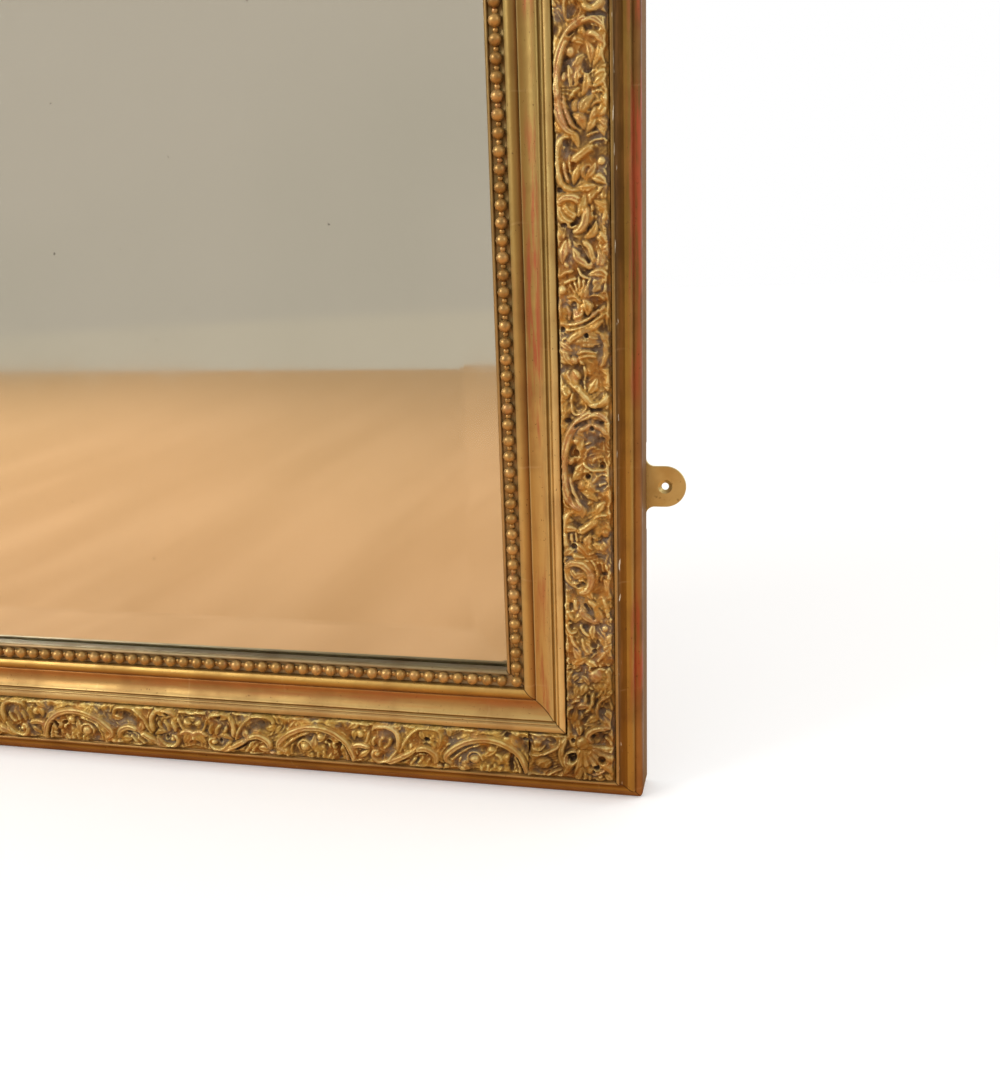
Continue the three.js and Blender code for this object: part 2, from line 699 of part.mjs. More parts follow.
// Half laps: the stile keeps its back half at the corners, the rail its front half
function halfLap(halfRun, rises) {
  const inner = halfRun + rebateOut - GAP;
  const outer = halfRun + sideOut + OVERCUT;
  const out = [rebateOut - OVERCUT, sideOut + OVERCUT];
  return [-1, 1].map((end) => toManifold(
    sideBox(end < 0 ? [-outer, -inner] : [inner, outer], rises, out)));
}

function carcassStile(halfRun, halfAcross) {
  let stile = carcassBlank(halfRun, halfAcross);
  const laps = halfLap(halfRun, [(CARCASS_THICKNESS - GAP) / 2, CARCASS_THICKNESS + OVERCUT]);
  for (const cut of [...laps, ...plateHousings(halfRun)]) {
    stile = stile.subtract(cut);
  }
  return toGeometry(stile);
}

function carcassRail(halfRun, halfAcross) {
  let rail = carcassBlank(halfRun, halfAcross);
  for (const cut of halfLap(halfRun, [-OVERCUT, (CARCASS_THICKNESS + GAP) / 2])) {
    rail = rail.subtract(cut);
  }
  return toGeometry(rail);
}

// ---- Glass, silvering and backing, in the frame's own middle ----

function rectangleRing(halfX, halfZ, rise) {
  return [[-halfX, -rise, -halfZ], [halfX, -rise, -halfZ], [halfX, -rise, halfZ], [-halfX, -rise, halfZ]];
}

function glassPlate() {
  const x = halfWide + glassOut;
  const z = halfHigh + glassOut;
  return loft([
    rectangleRing(x, z, glassBack),
    rectangleRing(x, z, glassBack + GLASS_EDGE),
    rectangleRing(x - BEVEL_WIDTH, z - BEVEL_WIDTH, glassBack + GLASS_THICKNESS),
  ]);
}

function silvering() {
  const x = halfWide + glassOut;
  const z = halfHigh + glassOut;
  return boxBetween([-x, -silveringFront, -z], [x, SILVERING_THICKNESS - silveringFront, z]);
}

function glazingBlock() {
  const low = boardFront + GAP;
  const high = silveringFront - SILVERING_THICKNESS - GAP;
  const outline = [
    [rebateOut - BLOCK_BACK_WIDTH, low],
    [rebateOut - BLOCK_WIDTH, high - BLOCK_NOSE],
    [rebateOut - BLOCK_WIDTH, high],
    [rebateOut - GAP, high],
    [rebateOut - GAP, low],
  ];
  const end = (along) => outline.map(([out, rise]) => [along, -rise, -out]);
  return loft([end(-BLOCK_LENGTH / 2), end(BLOCK_LENGTH / 2)]);
}

function backboard(height) {
  const half = halfWide + boardRebateOut - GAP;
  return loft([
    rectangleRing(half - BOARD_BEVEL, height / 2, BOARD_SETBACK),
    rectangleRing(half, height / 2, BOARD_SETBACK + BOARD_BEVEL),
    rectangleRing(half, height / 2, boardFront),
  ]);
}

// ---- Assembly ----

const root = new THREE.Group();
root.name = 'pier_mirror';

const frameCentre = new THREE.Group();
frameCentre.position.z = halfHigh + railBackMiddle;
root.add(frameCentre);

function addMesh(parent, name, geometry, material) {
  const mesh = new THREE.Mesh(geometry, material);
  mesh.name = name;
  parent.add(mesh);
  return mesh;
}

// A side's own group puts X along the side and -Z outward, with Z = 0 on its row of pearls
const level = { halfRun: halfWide, halfAcross: halfHigh, stile: false };
const upright = { halfRun: halfHigh, halfAcross: halfWide, stile: true };
const SIDES = [
  { ...level, name: 'bottom', turn: 0, next: 'bottom_right' },
  { ...upright, name: 'right', turn: -Math.PI / 2, next: 'top_right' },
  { ...level, name: 'top', turn: Math.PI, next: 'top_left' },
  { ...upright, name: 'left', turn: Math.PI / 2, next: 'bottom_left' },
];

for (const side of SIDES) {
  const { name, halfRun, halfAcross, stile } = side;
  const turned = new THREE.Group();
  turned.rotation.y = side.turn;
  frameCentre.add(turned);
  const group = new THREE.Group();
  group.position.z = -halfAcross;
  turned.add(group);

  addMesh(group, `carcass_${name}`,
    stile ? carcassStile(halfRun, halfAcross) : carcassRail(halfRun, halfAcross), oldPine);
  addMesh(group, `inner_moulding_${name}`, innerMoulding(halfRun), gilding);
  addMesh(group, `outer_moulding_${name}`, outerMoulding(halfRun, halfAcross), rubbedGilding);
  addMesh(group, `pearls_${name}`, pearlString(halfRun, stile), pearlGilding);
  addMesh(group, `frieze_ornament_${name}`,
    stile ? stileOrnament(halfRun) : railOrnament(halfRun), ornamentGilding);
  addMesh(group, `corner_ornament_${side.next}`,
    stile ? cornerOrnament(halfRun, CORNER_STILE_LEG, CORNER_RAIL_LEG)
      : cornerOrnament(halfRun, CORNER_RAIL_LEG, CORNER_STILE_LEG), ornamentGilding);

  const blocks = stile ? STILE_BLOCKS : RAIL_BLOCKS;
  for (let i = 0; i < blocks; i += 1) {
    const block = addMesh(group, `glazing_block_${name}_${i + 1}`, glazingBlock(), oldPine);
    block.position.x = -halfRun + 2 * halfRun * (i + 0.5) / blocks;
  }

  if (stile) {
    const wayUp = name === 'left' ? -1 : 1;
    const reach = halfRun + sideOut - PLATE_HEIGHT;
    for (const end of [-1, 1]) {
      const place = end * wayUp < 0 ? 'lower' : 'upper';
      const holder = new THREE.Group();
      holder.position.set(end * reach, 0, -sideOut);
      holder.rotation.y = Math.PI / 2;
      group.add(holder);
      addMesh(holder, `mirror_plate_${place}_${name}`, mirrorPlate(), brass);
      for (const which of [-1, 1]) {
        const screw = addMesh(holder, `plate_screw_${place}_${name}_${which < 0 ? 'a' : 'b'}`,
          plateScrew(), steel);
        screw.position.set(-SCREW_FROM_SIDE, 0, which * screwFromMiddle);
      }
    }
  }
}

addMesh(frameCentre, 'mirror_glass', glassPlate(), glassFinish);
addMesh(frameCentre, 'silvering', silvering(), silverFinish);

const boardSpan = 2 * (halfHigh + boardRebateOut - GAP);
const boardHeight = (boardSpan - (BOARD_COUNT - 1) * BOARD_GAP) / BOARD_COUNT;
for (let i = 0; i < BOARD_COUNT; i += 1) {
  const board = addMesh(frameCentre, `backboard_${i + 1}`, backboard(boardHeight), oldPine);
  board.position.z = -boardSpan / 2 + boardHeight / 2 + i * (boardHeight + BOARD_GAP);
}

export default root;
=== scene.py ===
"""A gilt pier mirror: the looks of its frame, glass, brass plates and old pine back.

Lengths are written in millimetres and made metres when a mesh is built. Object coordinates, bumps,
the floor, the lamps and the camera count in metres. On each side of the frame, "along" runs from the
side's middle, "rise" forward from the wall and "out" outward from the row of pearls, as in the model
that the frame comes from.
"""
import math

import bmesh
import bpy
import numpy as np
from mathutils import Matrix, Vector
from mathutils.geometry import tessellate_polygon


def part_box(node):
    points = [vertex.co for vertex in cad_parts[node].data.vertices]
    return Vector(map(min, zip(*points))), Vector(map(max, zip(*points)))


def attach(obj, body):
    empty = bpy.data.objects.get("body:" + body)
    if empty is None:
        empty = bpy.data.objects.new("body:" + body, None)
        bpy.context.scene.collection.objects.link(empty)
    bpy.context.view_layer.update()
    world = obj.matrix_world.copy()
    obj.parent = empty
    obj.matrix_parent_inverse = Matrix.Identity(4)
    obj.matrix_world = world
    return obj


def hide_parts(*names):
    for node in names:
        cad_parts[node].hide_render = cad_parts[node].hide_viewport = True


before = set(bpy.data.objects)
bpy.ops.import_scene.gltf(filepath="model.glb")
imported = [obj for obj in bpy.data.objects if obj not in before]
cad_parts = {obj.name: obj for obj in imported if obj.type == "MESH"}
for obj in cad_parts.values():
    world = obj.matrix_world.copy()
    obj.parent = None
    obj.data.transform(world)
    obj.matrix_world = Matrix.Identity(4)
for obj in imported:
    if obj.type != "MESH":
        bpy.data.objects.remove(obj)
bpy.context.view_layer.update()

MM = 0.001

# ---- Lines of the frame's section, outward from the pearls ----

SIGHT_OUT = -7.3
CHANNEL_IN = -4.6
CHANNEL_OUT = 5.3
OVOLO_OUT = 13.6
SCOOP_OUT = 27.2
BEAD_OUT = 31.4
FILLET_OUT = 36.2
GROUND_IN = 36.5
GROUND_OUT = 71.9
OUTER_FILLET_OUT = 73.9
COVE_OUT = 79.1
BACK_OVOLO_OUT = 84.3
SIDE_OUT = 89.5
REBATE_OUT = -1.0

# ---- Rises of its members above the wall ----

MOULDING_BACK = 24.3
LIP_BACK = 28.8
LIP_TOP = 38.2
CHANNEL_FLOOR = 35.3
ARRIS = 39.6
OVOLO_FOOT = 38.6
SCOOP_FOOT = 38.3
SCOOP_TOP = 42.5
FILLET_TOP = 43.5
GROUND_TOP = 41.0
COVE_FOOT = 36.4
BACK_OVOLO_FOOT = 31.4
EDGE_FOOT = 27.2

CORNER_ROUND = 4.5
MITRE_CRACK = 0.12
PEARL_PITCH = 11.0
PEARL_RADIUS = 4.2
PEARL_PROUD = 6.6
LEAF = 80.0                    # side of a leaf of gold

# ---- Ornament ----

ORNAMENT_BACK = 41.1           # rise of the back of the composition
ORNAMENT_MARGIN = 0.5
RUN_OUT = 0.4                  # how much flatter the ornament runs out on its outer side
GROUND_WIDTH = GROUND_OUT - GROUND_IN
BOARD_OUT = 8.7                # outer edge of the backboards
STILE_LEG = 54.0               # corner piece, from the ground's inner edge along the stile
RAIL_LEG = 28.0
STILE_UNIT = 240.0
STILE_START = STILE_LEG - GROUND_IN + 0.05     # where a stile's run begins, from the pearls' corner
RAIL_START = RAIL_LEG - GROUND_IN + 0.1


# ---- The four sides of the frame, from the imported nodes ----

def measure_sides():
    """Each side's half length at the pearls, its distance from the middle and its turn."""
    foot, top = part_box("outer_moulding_bottom")[0].z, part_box("outer_moulding_top")[1].z
    half_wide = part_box("outer_moulding_right")[1].x / MM - SIDE_OUT
    half_high = (top - foot) / 2 / MM - SIDE_OUT
    middle = (top + foot) / 2 / MM
    turns = {"bottom": 0, "right": -90, "top": 180, "left": 90}
    sides = {}
    for name, turn in turns.items():
        stile = name in ("left", "right")
        sides[name] = {
            "half_run": half_high if stile else half_wide,
            "half_across": half_wide if stile else half_high,
            "stile": stile,
            "turn": math.radians(turn),
            "middle": middle,
        }
    return sides


SIDES = measure_sides()
HALF_WIDE = SIDES["bottom"]["half_run"]
HALF_HIGH = SIDES["right"]["half_run"]
MIDDLE = SIDES["bottom"]["middle"]


def place(side, along, rise, out):
    """Points of a side as places in the shared frame, in metres."""
    along, rise, out = np.broadcast_arrays(along, rise, out)
    x, z = along, -(side["half_across"] + out)
    cos, sin = math.cos(side["turn"]), math.sin(side["turn"])
    points = np.stack([x * cos + z * sin, -rise, z * cos - x * sin + side["middle"]], -1)
    return points.reshape(-1, 3) * MM


# ---- Meshes ----

def new_piece(name, points, faces, material, values=None):
    """A smooth piece from points in metres, faces and named numbers for its points."""
    mesh = bpy.data.meshes.new(name)
    mesh.from_pydata(np.asarray(points).tolist(), [], faces)
    mesh.polygons.foreach_set("use_smooth", [True] * len(mesh.polygons))
    for label, numbers in (values or {}).items():
        attribute = mesh.attributes.new(label, "FLOAT", "POINT")
        attribute.data.foreach_set("value", np.asarray(numbers, np.float32).ravel())
    mesh.materials.append(material)
    piece = bpy.data.objects.new(name, mesh)
    bpy.context.scene.collection.objects.link(piece)
    return piece


def settle(piece, slot, *nodes):
    """The piece stands for its nodes and rides on the one body; slot is not used."""
    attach(piece, "root")
    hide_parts(*nodes)


def wander(length, scale, seed):
    """Smooth noise along a line, from -1 to 1, with bumps about scale long."""
    knots = np.random.default_rng(seed).uniform(-1, 1, int(length / scale) + 4)
    return lambda s: np.interp(s / scale + 1, np.arange(len(knots)), knots)


# ---- Colours and shader nodes ----

def paint(code):
    """A colour written as on a sample card, made linear."""
    parts = [int(code[i:i + 2], 16) / 255 for i in (0, 2, 4)]
    return [c / 12.92 if c <= 0.04045 else ((c + 0.055) / 1.055) ** 2.4 for c in parts] + [1.0]


class Nodes:
    """A node tree under construction: each call adds a node and gives back its output."""

    def __init__(self, tree):
        self.tree = tree

    def feed(self, socket, value):
        if isinstance(value, bpy.types.NodeSocket):
            self.tree.links.new(value, socket)
        else:
            socket.default_value = value

    def node(self, kind, inputs=None, output=0, **settings):
        node = self.tree.nodes.new(kind)
        for label, value in settings.items():
            setattr(node, label, value)
        for label, value in (inputs or {}).items():
            self.feed(node.inputs[label], value)
        return node.outputs[output]

    def math(self, operation, a, b=0.0):
        return self.node("ShaderNodeMath", {0: a, 1: b}, operation=operation)

    def step(self, value, low, high, start=0.0, end=1.0):
        """From start to end, smoothly, as value goes from low to high."""
        return self.node("ShaderNodeMapRange", {
            "Value": value, "From Min": low, "From Max": high, "To Min": start, "To Max": end},
            interpolation_type="SMOOTHSTEP")

    def mix(self, factor, a, b, blend="MIX"):
        """From colour a to colour b, each a code or a socket."""
        a, b = (paint(colour) if isinstance(colour, str) else colour for colour in (a, b))
        return self.node("ShaderNodeMix", {0: factor, 6: a, 7: b}, 2, data_type="RGBA", blend_type=blend)

    def part(self, vector, axis):
        return self.node("ShaderNodeSeparateXYZ", {0: vector}, axis)


class Finish(Nodes):
    """A material under construction, from the constants of its shader."""

    def __init__(self, name, constants):
        self.material = bpy.data.materials.new(name)
        self.material.use_nodes = True
        super().__init__(self.material.node_tree)
        self.shader = self.tree.nodes["Principled BSDF"]
        for label, value in constants.items():
            self.shader.inputs[label].default_value = value

    def place(self, scale=(1, 1, 1)):
        """Object coordinates in metres, drawn out by scale."""
        spot = self.node("ShaderNodeTexCoord", output="Object")
        return self.node("ShaderNodeMapping", {"Vector": spot, "Scale": scale})

    def value(self, label):
        """A number that the mesh carries."""
        return self.node("ShaderNodeAttribute", output="Fac", attribute_name=label)

    def noise(self, scale, detail=4.0, roughness=0.55, vector=None, distortion=0.0):
        return self.node("ShaderNodeTexNoise", {
            "Vector": vector or self.place(), "Scale": scale, "Detail": detail,
            "Roughness": roughness, "Distortion": distortion})

    def ramp(self, factor, stops):
        node = self.tree.nodes.new("ShaderNodeValToRGB")
        elements = node.color_ramp.elements
        while len(elements) < len(stops):
            elements.new(0.5)
        for element, (position, colour) in zip(elements, stops):
            element.position = position
            element.color = paint(colour)
        self.feed(node.inputs["Fac"], factor)
        return node.outputs["Color"]

    def bump(self, height, strength, distance):
        normal = self.node("ShaderNodeBump", {
            "Height": height, "Strength": strength, "Distance": distance})
        self.feed(self.shader.inputs["Normal"], normal)

    def done(self, inputs):
        for label, value in inputs.items():
            self.feed(self.shader.inputs[label], value)
        return self.material


# ---- Finishes ----

# Stops across the inner moulding, [out, colour]. The dark stops at the channel's walls are grime and painted
# shade, those in the quirks, at the ovolo's foot and on the drop at the back painted shade; the light stops
# on the arrises, the step, the bead and the fillet are painted highlights.
INNER_TONES = [
    (-7.3, "b3915b"), (-5.6, "b3915b"), (-4.6, "9a7c4c"), (-3.5, "c0a16a"), (4.2, "c0a16a"),
    (5.3, "8a6b3a"), (6.0, "c6aa6a"), (9.5, "c09b57"), (13.2, "996e34"), (13.6, "765322"),
    (14.2, "d2b778"), (15.0, "ba934f"), (22.0, "c6a462"), (27.0, "d2b573"), (27.8, "8a692b"),
    (28.9, "a28245"), (29.6, "dfc17c"), (31.2, "d9b971"), (31.5, "ac8548"), (32.0, "e5c986"),
    (35.6, "dfc180"), (36.2, "87672f")]

# The rails' stops: a darker copy of the stiles', painted shade over all of the rails' gilding and most of it
# on the scoop's foot, which faces down on the top rail.
SHADED_RAIL_TONES = [
    (-7.3, "8f7f5c"), (-5.6, "8f7f5c"), (-4.6, "908054"), (-3.5, "bba678"), (4.2, "bba678"),
    (5.3, "8a6b3a"), (6.0, "c6a45a"), (9.5, "b4893c"), (13.2, "96662a"), (13.6, "6c4a1e"),
    (14.2, "b27c3c"), (16.0, "aa7238"), (19.0, "ab8248"), (24.0, "b08e52"), (27.0, "c6a96a"),
    (27.8, "7a5c28"), (28.9, "8c6f3c"), (29.6, "c2a66a"), (31.2, "bda066"), (31.5, "957544"),
    (32.0, "ccae70"), (35.6, "c4a466"), (36.2, "6c5228")]

# Stops across the ground and the outer moulding: the dark stops in the cove and at the quirk behind the back
# ovolo are painted shade and the light ones on the fillet painted highlights; the ground's dark is partly
# painted shade.
OUTER_TONES = [
    (36.5, "7c5e36"), (62.0, "7c5e36"), (67.0, "96723e"), (71.9, "96723e"), (72.4, "b08d50"),
    (73.8, "b5935a"), (74.3, "754e13"), (77.0, "7d5516"), (79.1, "8e651f"), (79.8, "b28a3c"),
    (84.0, "a87f35"), (84.4, "81571d"), (85.2, "a8793d"), (88.0, "9e6f39"), (89.5, "815628")]


def gilded(name, upright, tones, rub_line, rub_amount, bole, chips=0.0):
    """Leaf over bole on gesso: laps every leaf, bole at the rubs, grime and painted shade in the hollows,
    painted shade towards the top and painted highlights on the arrises.

    tones are [out, colour] stops across the section, painted shade and highlights among them; rub_line is
    where the leaf wears most."""
    f = Finish(name, {"Metallic": 0.55, "Roughness": 0.42, "Specular IOR Level": 0.4})
    lengthwise = (lambda fine, long: (fine, fine, long)) if upright else (
        lambda fine, long: (long, fine, fine))
    out, along = f.value("across"), f.value("along")
    first, last = tones[0][0], tones[-1][0]
    share = f.math("DIVIDE", f.math("SUBTRACT", out, first), last - first)
    colour = f.ramp(share, [((at - first) / (last - first), code) for at, code in tones])
    cloud = f.noise(28, 3)
    colour = f.mix(f.step(cloud, 0.42, 0.7, 0, 0.3), colour, "8d6128", "MULTIPLY")
    # Painted shade: the gilding greyed and darker towards the top of the frame, in patches.
    high = f.part(f.place(), "Z")
    painted_shade_above = f.math("MULTIPLY", f.step(high, 0.2, 0.34), f.step(f.noise(5, 2), 0.3, 0.5, 0.6, 1))
    colour = f.mix(painted_shade_above, colour, "d3d8cc", "MULTIPLY")
    wave = f.math("MULTIPLY", f.noise(60, 1), 6.0)
    lap = f.math("PINGPONG", f.math("ADD", along, wave), LEAF / 2)
    faint = f.step(f.noise(50, 2), 0.42, 0.7, 0, 0.2)
    colour = f.mix(f.math("MULTIPLY", f.step(lap, 0.1, 1.2, 1, 0), faint), colour, "dcbf88")
    streak = f.noise(1.0, 5, 0.6, f.place(lengthwise(260, 22)))
    near = f.step(f.math("ABSOLUTE", f.math("SUBTRACT", out, rub_line)), 1.5, 7.5, 1, 0)
    colour = f.mix(f.step(streak, 0.45, 0.7, 0, 0.3), colour, "a8743c")
    rub = f.math("MULTIPLY", near, f.step(f.noise(7, 2), 0.42, 0.56))
    rub = f.math("MULTIPLY", rub, f.step(streak, 0.4, 0.62, 0, rub_amount))
    colour = f.mix(rub, colour, bole)
    colour = f.mix(f.step(f.noise(420, 2, 0.7), 0.66, 0.74, 0, 0.75), colour, "5c3d1c")
    if chips:
        past_fillet = f.math("SUBTRACT", out, OUTER_FILLET_OUT + 0.7)
        edge = f.step(f.math("ABSOLUTE", past_fillet), 0.5, 1.5, 1, 0)
        bare = f.step(f.noise(1.0, 2, 0.5, f.place(lengthwise(300, 75))), 0.66, 0.69)
        colour = f.mix(f.math("MULTIPLY", f.math("MULTIPLY", edge, bare), chips), colour, "e8dcc2")
    colour = f.mix(f.step(f.value("from_mitre"), 0.15, 0.7, 0.8, 0), colour, "4a2f14")
    scratch = f.noise(1.0, 3, 0.5, f.place(lengthwise(900, 60)))
    f.bump(f.math("ADD", f.math("MULTIPLY", scratch, 0.35), f.noise(300, 3)), 0.22, 0.0006)
    return f.done({"Base Color": colour, "Roughness": f.step(cloud, 0.3, 0.8, 0.36, 0.56)})


def gilded_ornament(name, body, shade):
    """Composition: painted highlights on the crests, old dust and painted shade in the hollows, rubs to the
    bole.

    body is the colour of the gold and shade what all of it is multiplied by in patches; on the corner pieces
    that is painted shade with some dirt."""
    f = Finish(name, {"Metallic": 0.5, "Specular IOR Level": 0.4})
    rub, crest = f.value("rub"), f.value("crest")
    cloud = f.noise(60, 4)
    # Old dust and painted shade: darker browns in the hollows and the low places, broken up by noise.
    depth = f.math("ADD", f.value("hollow"), f.math("MULTIPLY", f.math("SUBTRACT", cloud, 0.5), 0.9))
    share = f.step(depth, -1.0, 1.0)
    colour = f.ramp(share, [(0.0, body), (0.38, body), (0.6, "a08044"), (0.78, "80623a"),
                            (0.9, "6c543a"), (1.0, "523f2c")])
    colour = f.mix(f.step(f.noise(62, 3), 0.5, 0.6, 0, 0.65), colour, "b47c32")
    dust = f.math("MULTIPLY", f.step(share, 0.3, 0.6, 0.35, 1), f.step(f.noise(50, 4), 0.5, 0.62, 0, 0.8))
    colour = f.mix(dust, colour, "84776a")
    raised = f.step(share, 0.65, 0.35)
    pink = f.math("MULTIPLY", f.step(rub, 0.1, 1.0, 0, 0.7), f.step(f.noise(120, 3), 0.3, 0.65, 0.2, 1))
    colour = f.mix(f.math("MULTIPLY", pink, raised), colour, "c09070")
    yellow = f.math("MULTIPLY", f.step(rub, -0.1, -1.0, 0, 0.7), raised)
    colour = f.mix(yellow, colour, "c6ac66")
    crisp = f.node("ShaderNodeTexNoise", {
        "Vector": f.place(), "Scale": 260.0, "Detail": 3.0, "Roughness": 0.6, "Distortion": 0.8},
        noise_type="RIDGED_MULTIFRACTAL")
    # Painted highlight: pale gold along the crests and the fine ridges, in patches.
    rim = f.math("ADD", f.step(crest, 0.1, 0.8, 0, 0.85), f.step(crisp, 1.1, 1.8, 0, 0.35))
    rim = f.math("MULTIPLY", rim, f.step(f.noise(80, 2), 0.38, 0.6, 0.2, 1))
    colour = f.mix(rim, colour, "f0dc98")
    # The shade colour, in patches: painted shade with some dirt on the corner pieces.
    colour = f.mix(f.step(f.noise(22, 3), 0.35, 0.6, 0.4, 1.0), colour, shade, "MULTIPLY")
    grit = f.noise(520, 3, 0.7)
    dirt = f.math("MULTIPLY", f.step(grit, 0.55, 0.7), f.step(share, 0.2, 0.7, 0.15, 0.6))
    colour = f.mix(dirt, colour, "5c4a34")
    f.bump(f.math("ADD", crisp, f.math("MULTIPLY", grit, 1.4)), 0.5, 0.0008)
    return f.done({"Base Color": colour, "Roughness": f.step(share, 0.2, 0.8, 0.36, 0.7)})


def gilded_pearl():
    f = Finish("gilded_pearl", {"Metallic": 0.6, "Roughness": 0.36, "Specular IOR Level": 0.4})
    tone = f.value("tone")
    colour = f.ramp(tone, [(0.0, "a88247"), (0.5, "bd9656"), (1.0, "cca466")])
    colour = f.mix(f.step(f.noise(240, 3), 0.45, 0.7, 0, 0.6), colour, "775d36")
    colour = f.mix(f.step(f.noise(90, 2), 0.62, 0.7, 0, 0.4), colour, "b07a52")
    f.bump(f.noise(500, 2), 0.15, 0.0005)
    return f.done({"Base Color": colour})


def old_pine(name, scale, early, late, shift):
    """Pine with its grain along scale's smallest number, from early to late wood, browned by age.

    shift moves the grain from one finish to the next. The frame's outer sides are washed with ochre."""
    f = Finish(name, {"Roughness": 0.75, "Specular IOR Level": 0.3})
    here = f.node("ShaderNodeVectorMath", {0: f.place(), 1: (shift, 0.7 * shift, 1.3 * shift)})
    drawn = lambda times: f.node("ShaderNodeMapping", {
        "Vector": here, "Scale": [s * times for s in scale]})
    grain = f.noise(1.0, 4, 0.5, drawn(0.35), 0.3)
    rings = f.math("PINGPONG", f.math("MULTIPLY", grain, 12.0), 0.5)
    colour = f.mix(f.step(rings, 0.05, 0.35, 0.3, 0.9), late, early)
    fibre = f.noise(1.0, 5, 0.65, drawn(7))
    colour = f.mix(f.step(fibre, 0.35, 0.7, 0, 0.45), colour, "8c7355")
    knots = f.node("ShaderNodeTexVoronoi", {"Vector": drawn(0.16), "Scale": 1.0})
    colour = f.mix(f.step(knots, 0.05, 0.11, 0.8, 0), colour, "4e3420")
    colour = f.mix(f.step(f.noise(5, 3), 0.45, 0.75, 0, 0.5), colour, "9a8468", "MULTIPLY")
    colour = f.mix(f.step(f.noise(180, 3), 0.64, 0.75, 0, 0.4), colour, "4b3320")
    wide = f.math("ABSOLUTE", f.part(f.place(), "X"))
    high = f.math("ABSOLUTE", f.math("SUBTRACT", f.part(f.place(), "Z"), MIDDLE * MM))
    washed = [f.step(far, (half + SIDE_OUT - 0.8) * MM, (half + SIDE_OUT - 0.3) * MM)
              for far, half in ((wide, HALF_WIDE), (high, HALF_HIGH))]
    colour = f.mix(f.math("MULTIPLY", f.math("MAXIMUM", *washed), 0.9), colour, "7c5a2c")
    f.bump(fibre, 0.35, 0.0008)
    return f.done({"Base Color": colour})


def plate_glass():
    f = Finish("plate_glass", {"Roughness": 0.0, "IOR": 1.5, "Transmission Weight": 1.0})
    colour = f.mix(f.step(f.noise(3, 2), 0.4, 0.7), "fbfefc", "f6faf7")
    return f.done({"Base Color": colour})


def old_silvering():
    """Silver with a faint haze and a few specks."""
    f = Finish("old_silvering", {"Metallic": 1.0})
    speck = f.step(f.noise(160, 2, 0.6), 0.735, 0.76)
    colour = f.mix(f.math("MULTIPLY", speck, 0.6), "f1efe8", "6c6250")
    haze = f.step(f.noise(12, 3), 0.4, 0.7, 0.03, 0.07)
    return f.done({"Base Color": colour, "Roughness": haze})


def pale_brass():
    f = Finish("pale_brass", {"Metallic": 0.9, "Roughness": 0.36, "Anisotropic": 0.3})
    colour = f.mix(f.step(f.noise(40, 3), 0.4, 0.7), "dccb8e", "c9b173")
    colour = f.mix(f.step(f.noise(300, 2), 0.64, 0.75, 0, 0.5), colour, "8b6d3c")
    f.bump(f.noise(1.0, 3, 0.5, f.place((90, 90, 1200))), 0.12, 0.0004)
    return f.done({"Base Color": colour, "Roughness": f.step(f.noise(30, 2), 0.3, 0.7, 0.3, 0.45)})


def dull_steel():
    f = Finish("dull_steel", {"Metallic": 0.9, "Roughness": 0.45})
    colour = f.mix(f.step(f.noise(500, 3), 0.45, 0.65), "7b766e", "5a4636")
    f.bump(f.noise(900, 2), 0.25, 0.0003)
    return f.done({"Base Color": colour})


GILDED_INNER = {True: gilded("gilded_stile", True, INNER_TONES, 20, 0.9, "a9583a"),
                False: gilded("gilded_rail", False, SHADED_RAIL_TONES, 18, 0.5, "a5683a")}
GILDED_OUTER = {True: gilded("gilded_stile_edge", True, OUTER_TONES, 87, 0.95, "ac5232", 1.0),
                False: gilded("gilded_rail_edge", False, OUTER_TONES, 87, 0.3, "9c6038", 0.6)}
ORNAMENT = {True: gilded_ornament("gilded_stile_ornament", "c89c4e", "f0ece2"),
            False: gilded_ornament("gilded_rail_ornament", "c8a456", "e6e2cc")}
# The corner pieces' darker shade colour is painted shade, as the light falls off towards the lower corners,
# with some dirt.
CORNER = gilded_ornament("gilded_corner", "bc9446", "c6baa6")
PEARL = gilded_pearl()
BRASS = pale_brass()
STEEL = dull_steel()


# ---- Mouldings ----

def bend(start, end, sag, steps=10):
    """Points of a hollow or round member, which bulges forward by sag at its middle."""
    (x0, y0), (x1, y1) = start, end
    chord = math.hypot(x1 - x0, y1 - y0)
    points = []
    for i in range(steps + 1):
        t = i / steps
        bulge = 4 * sag * t * (1 - t)
        points.append((x0 + (x1 - x0) * t - (y1 - y0) / chord * bulge,
                       y0 + (y1 - y0) * t + (x1 - x0) / chord * bulge))
    return points


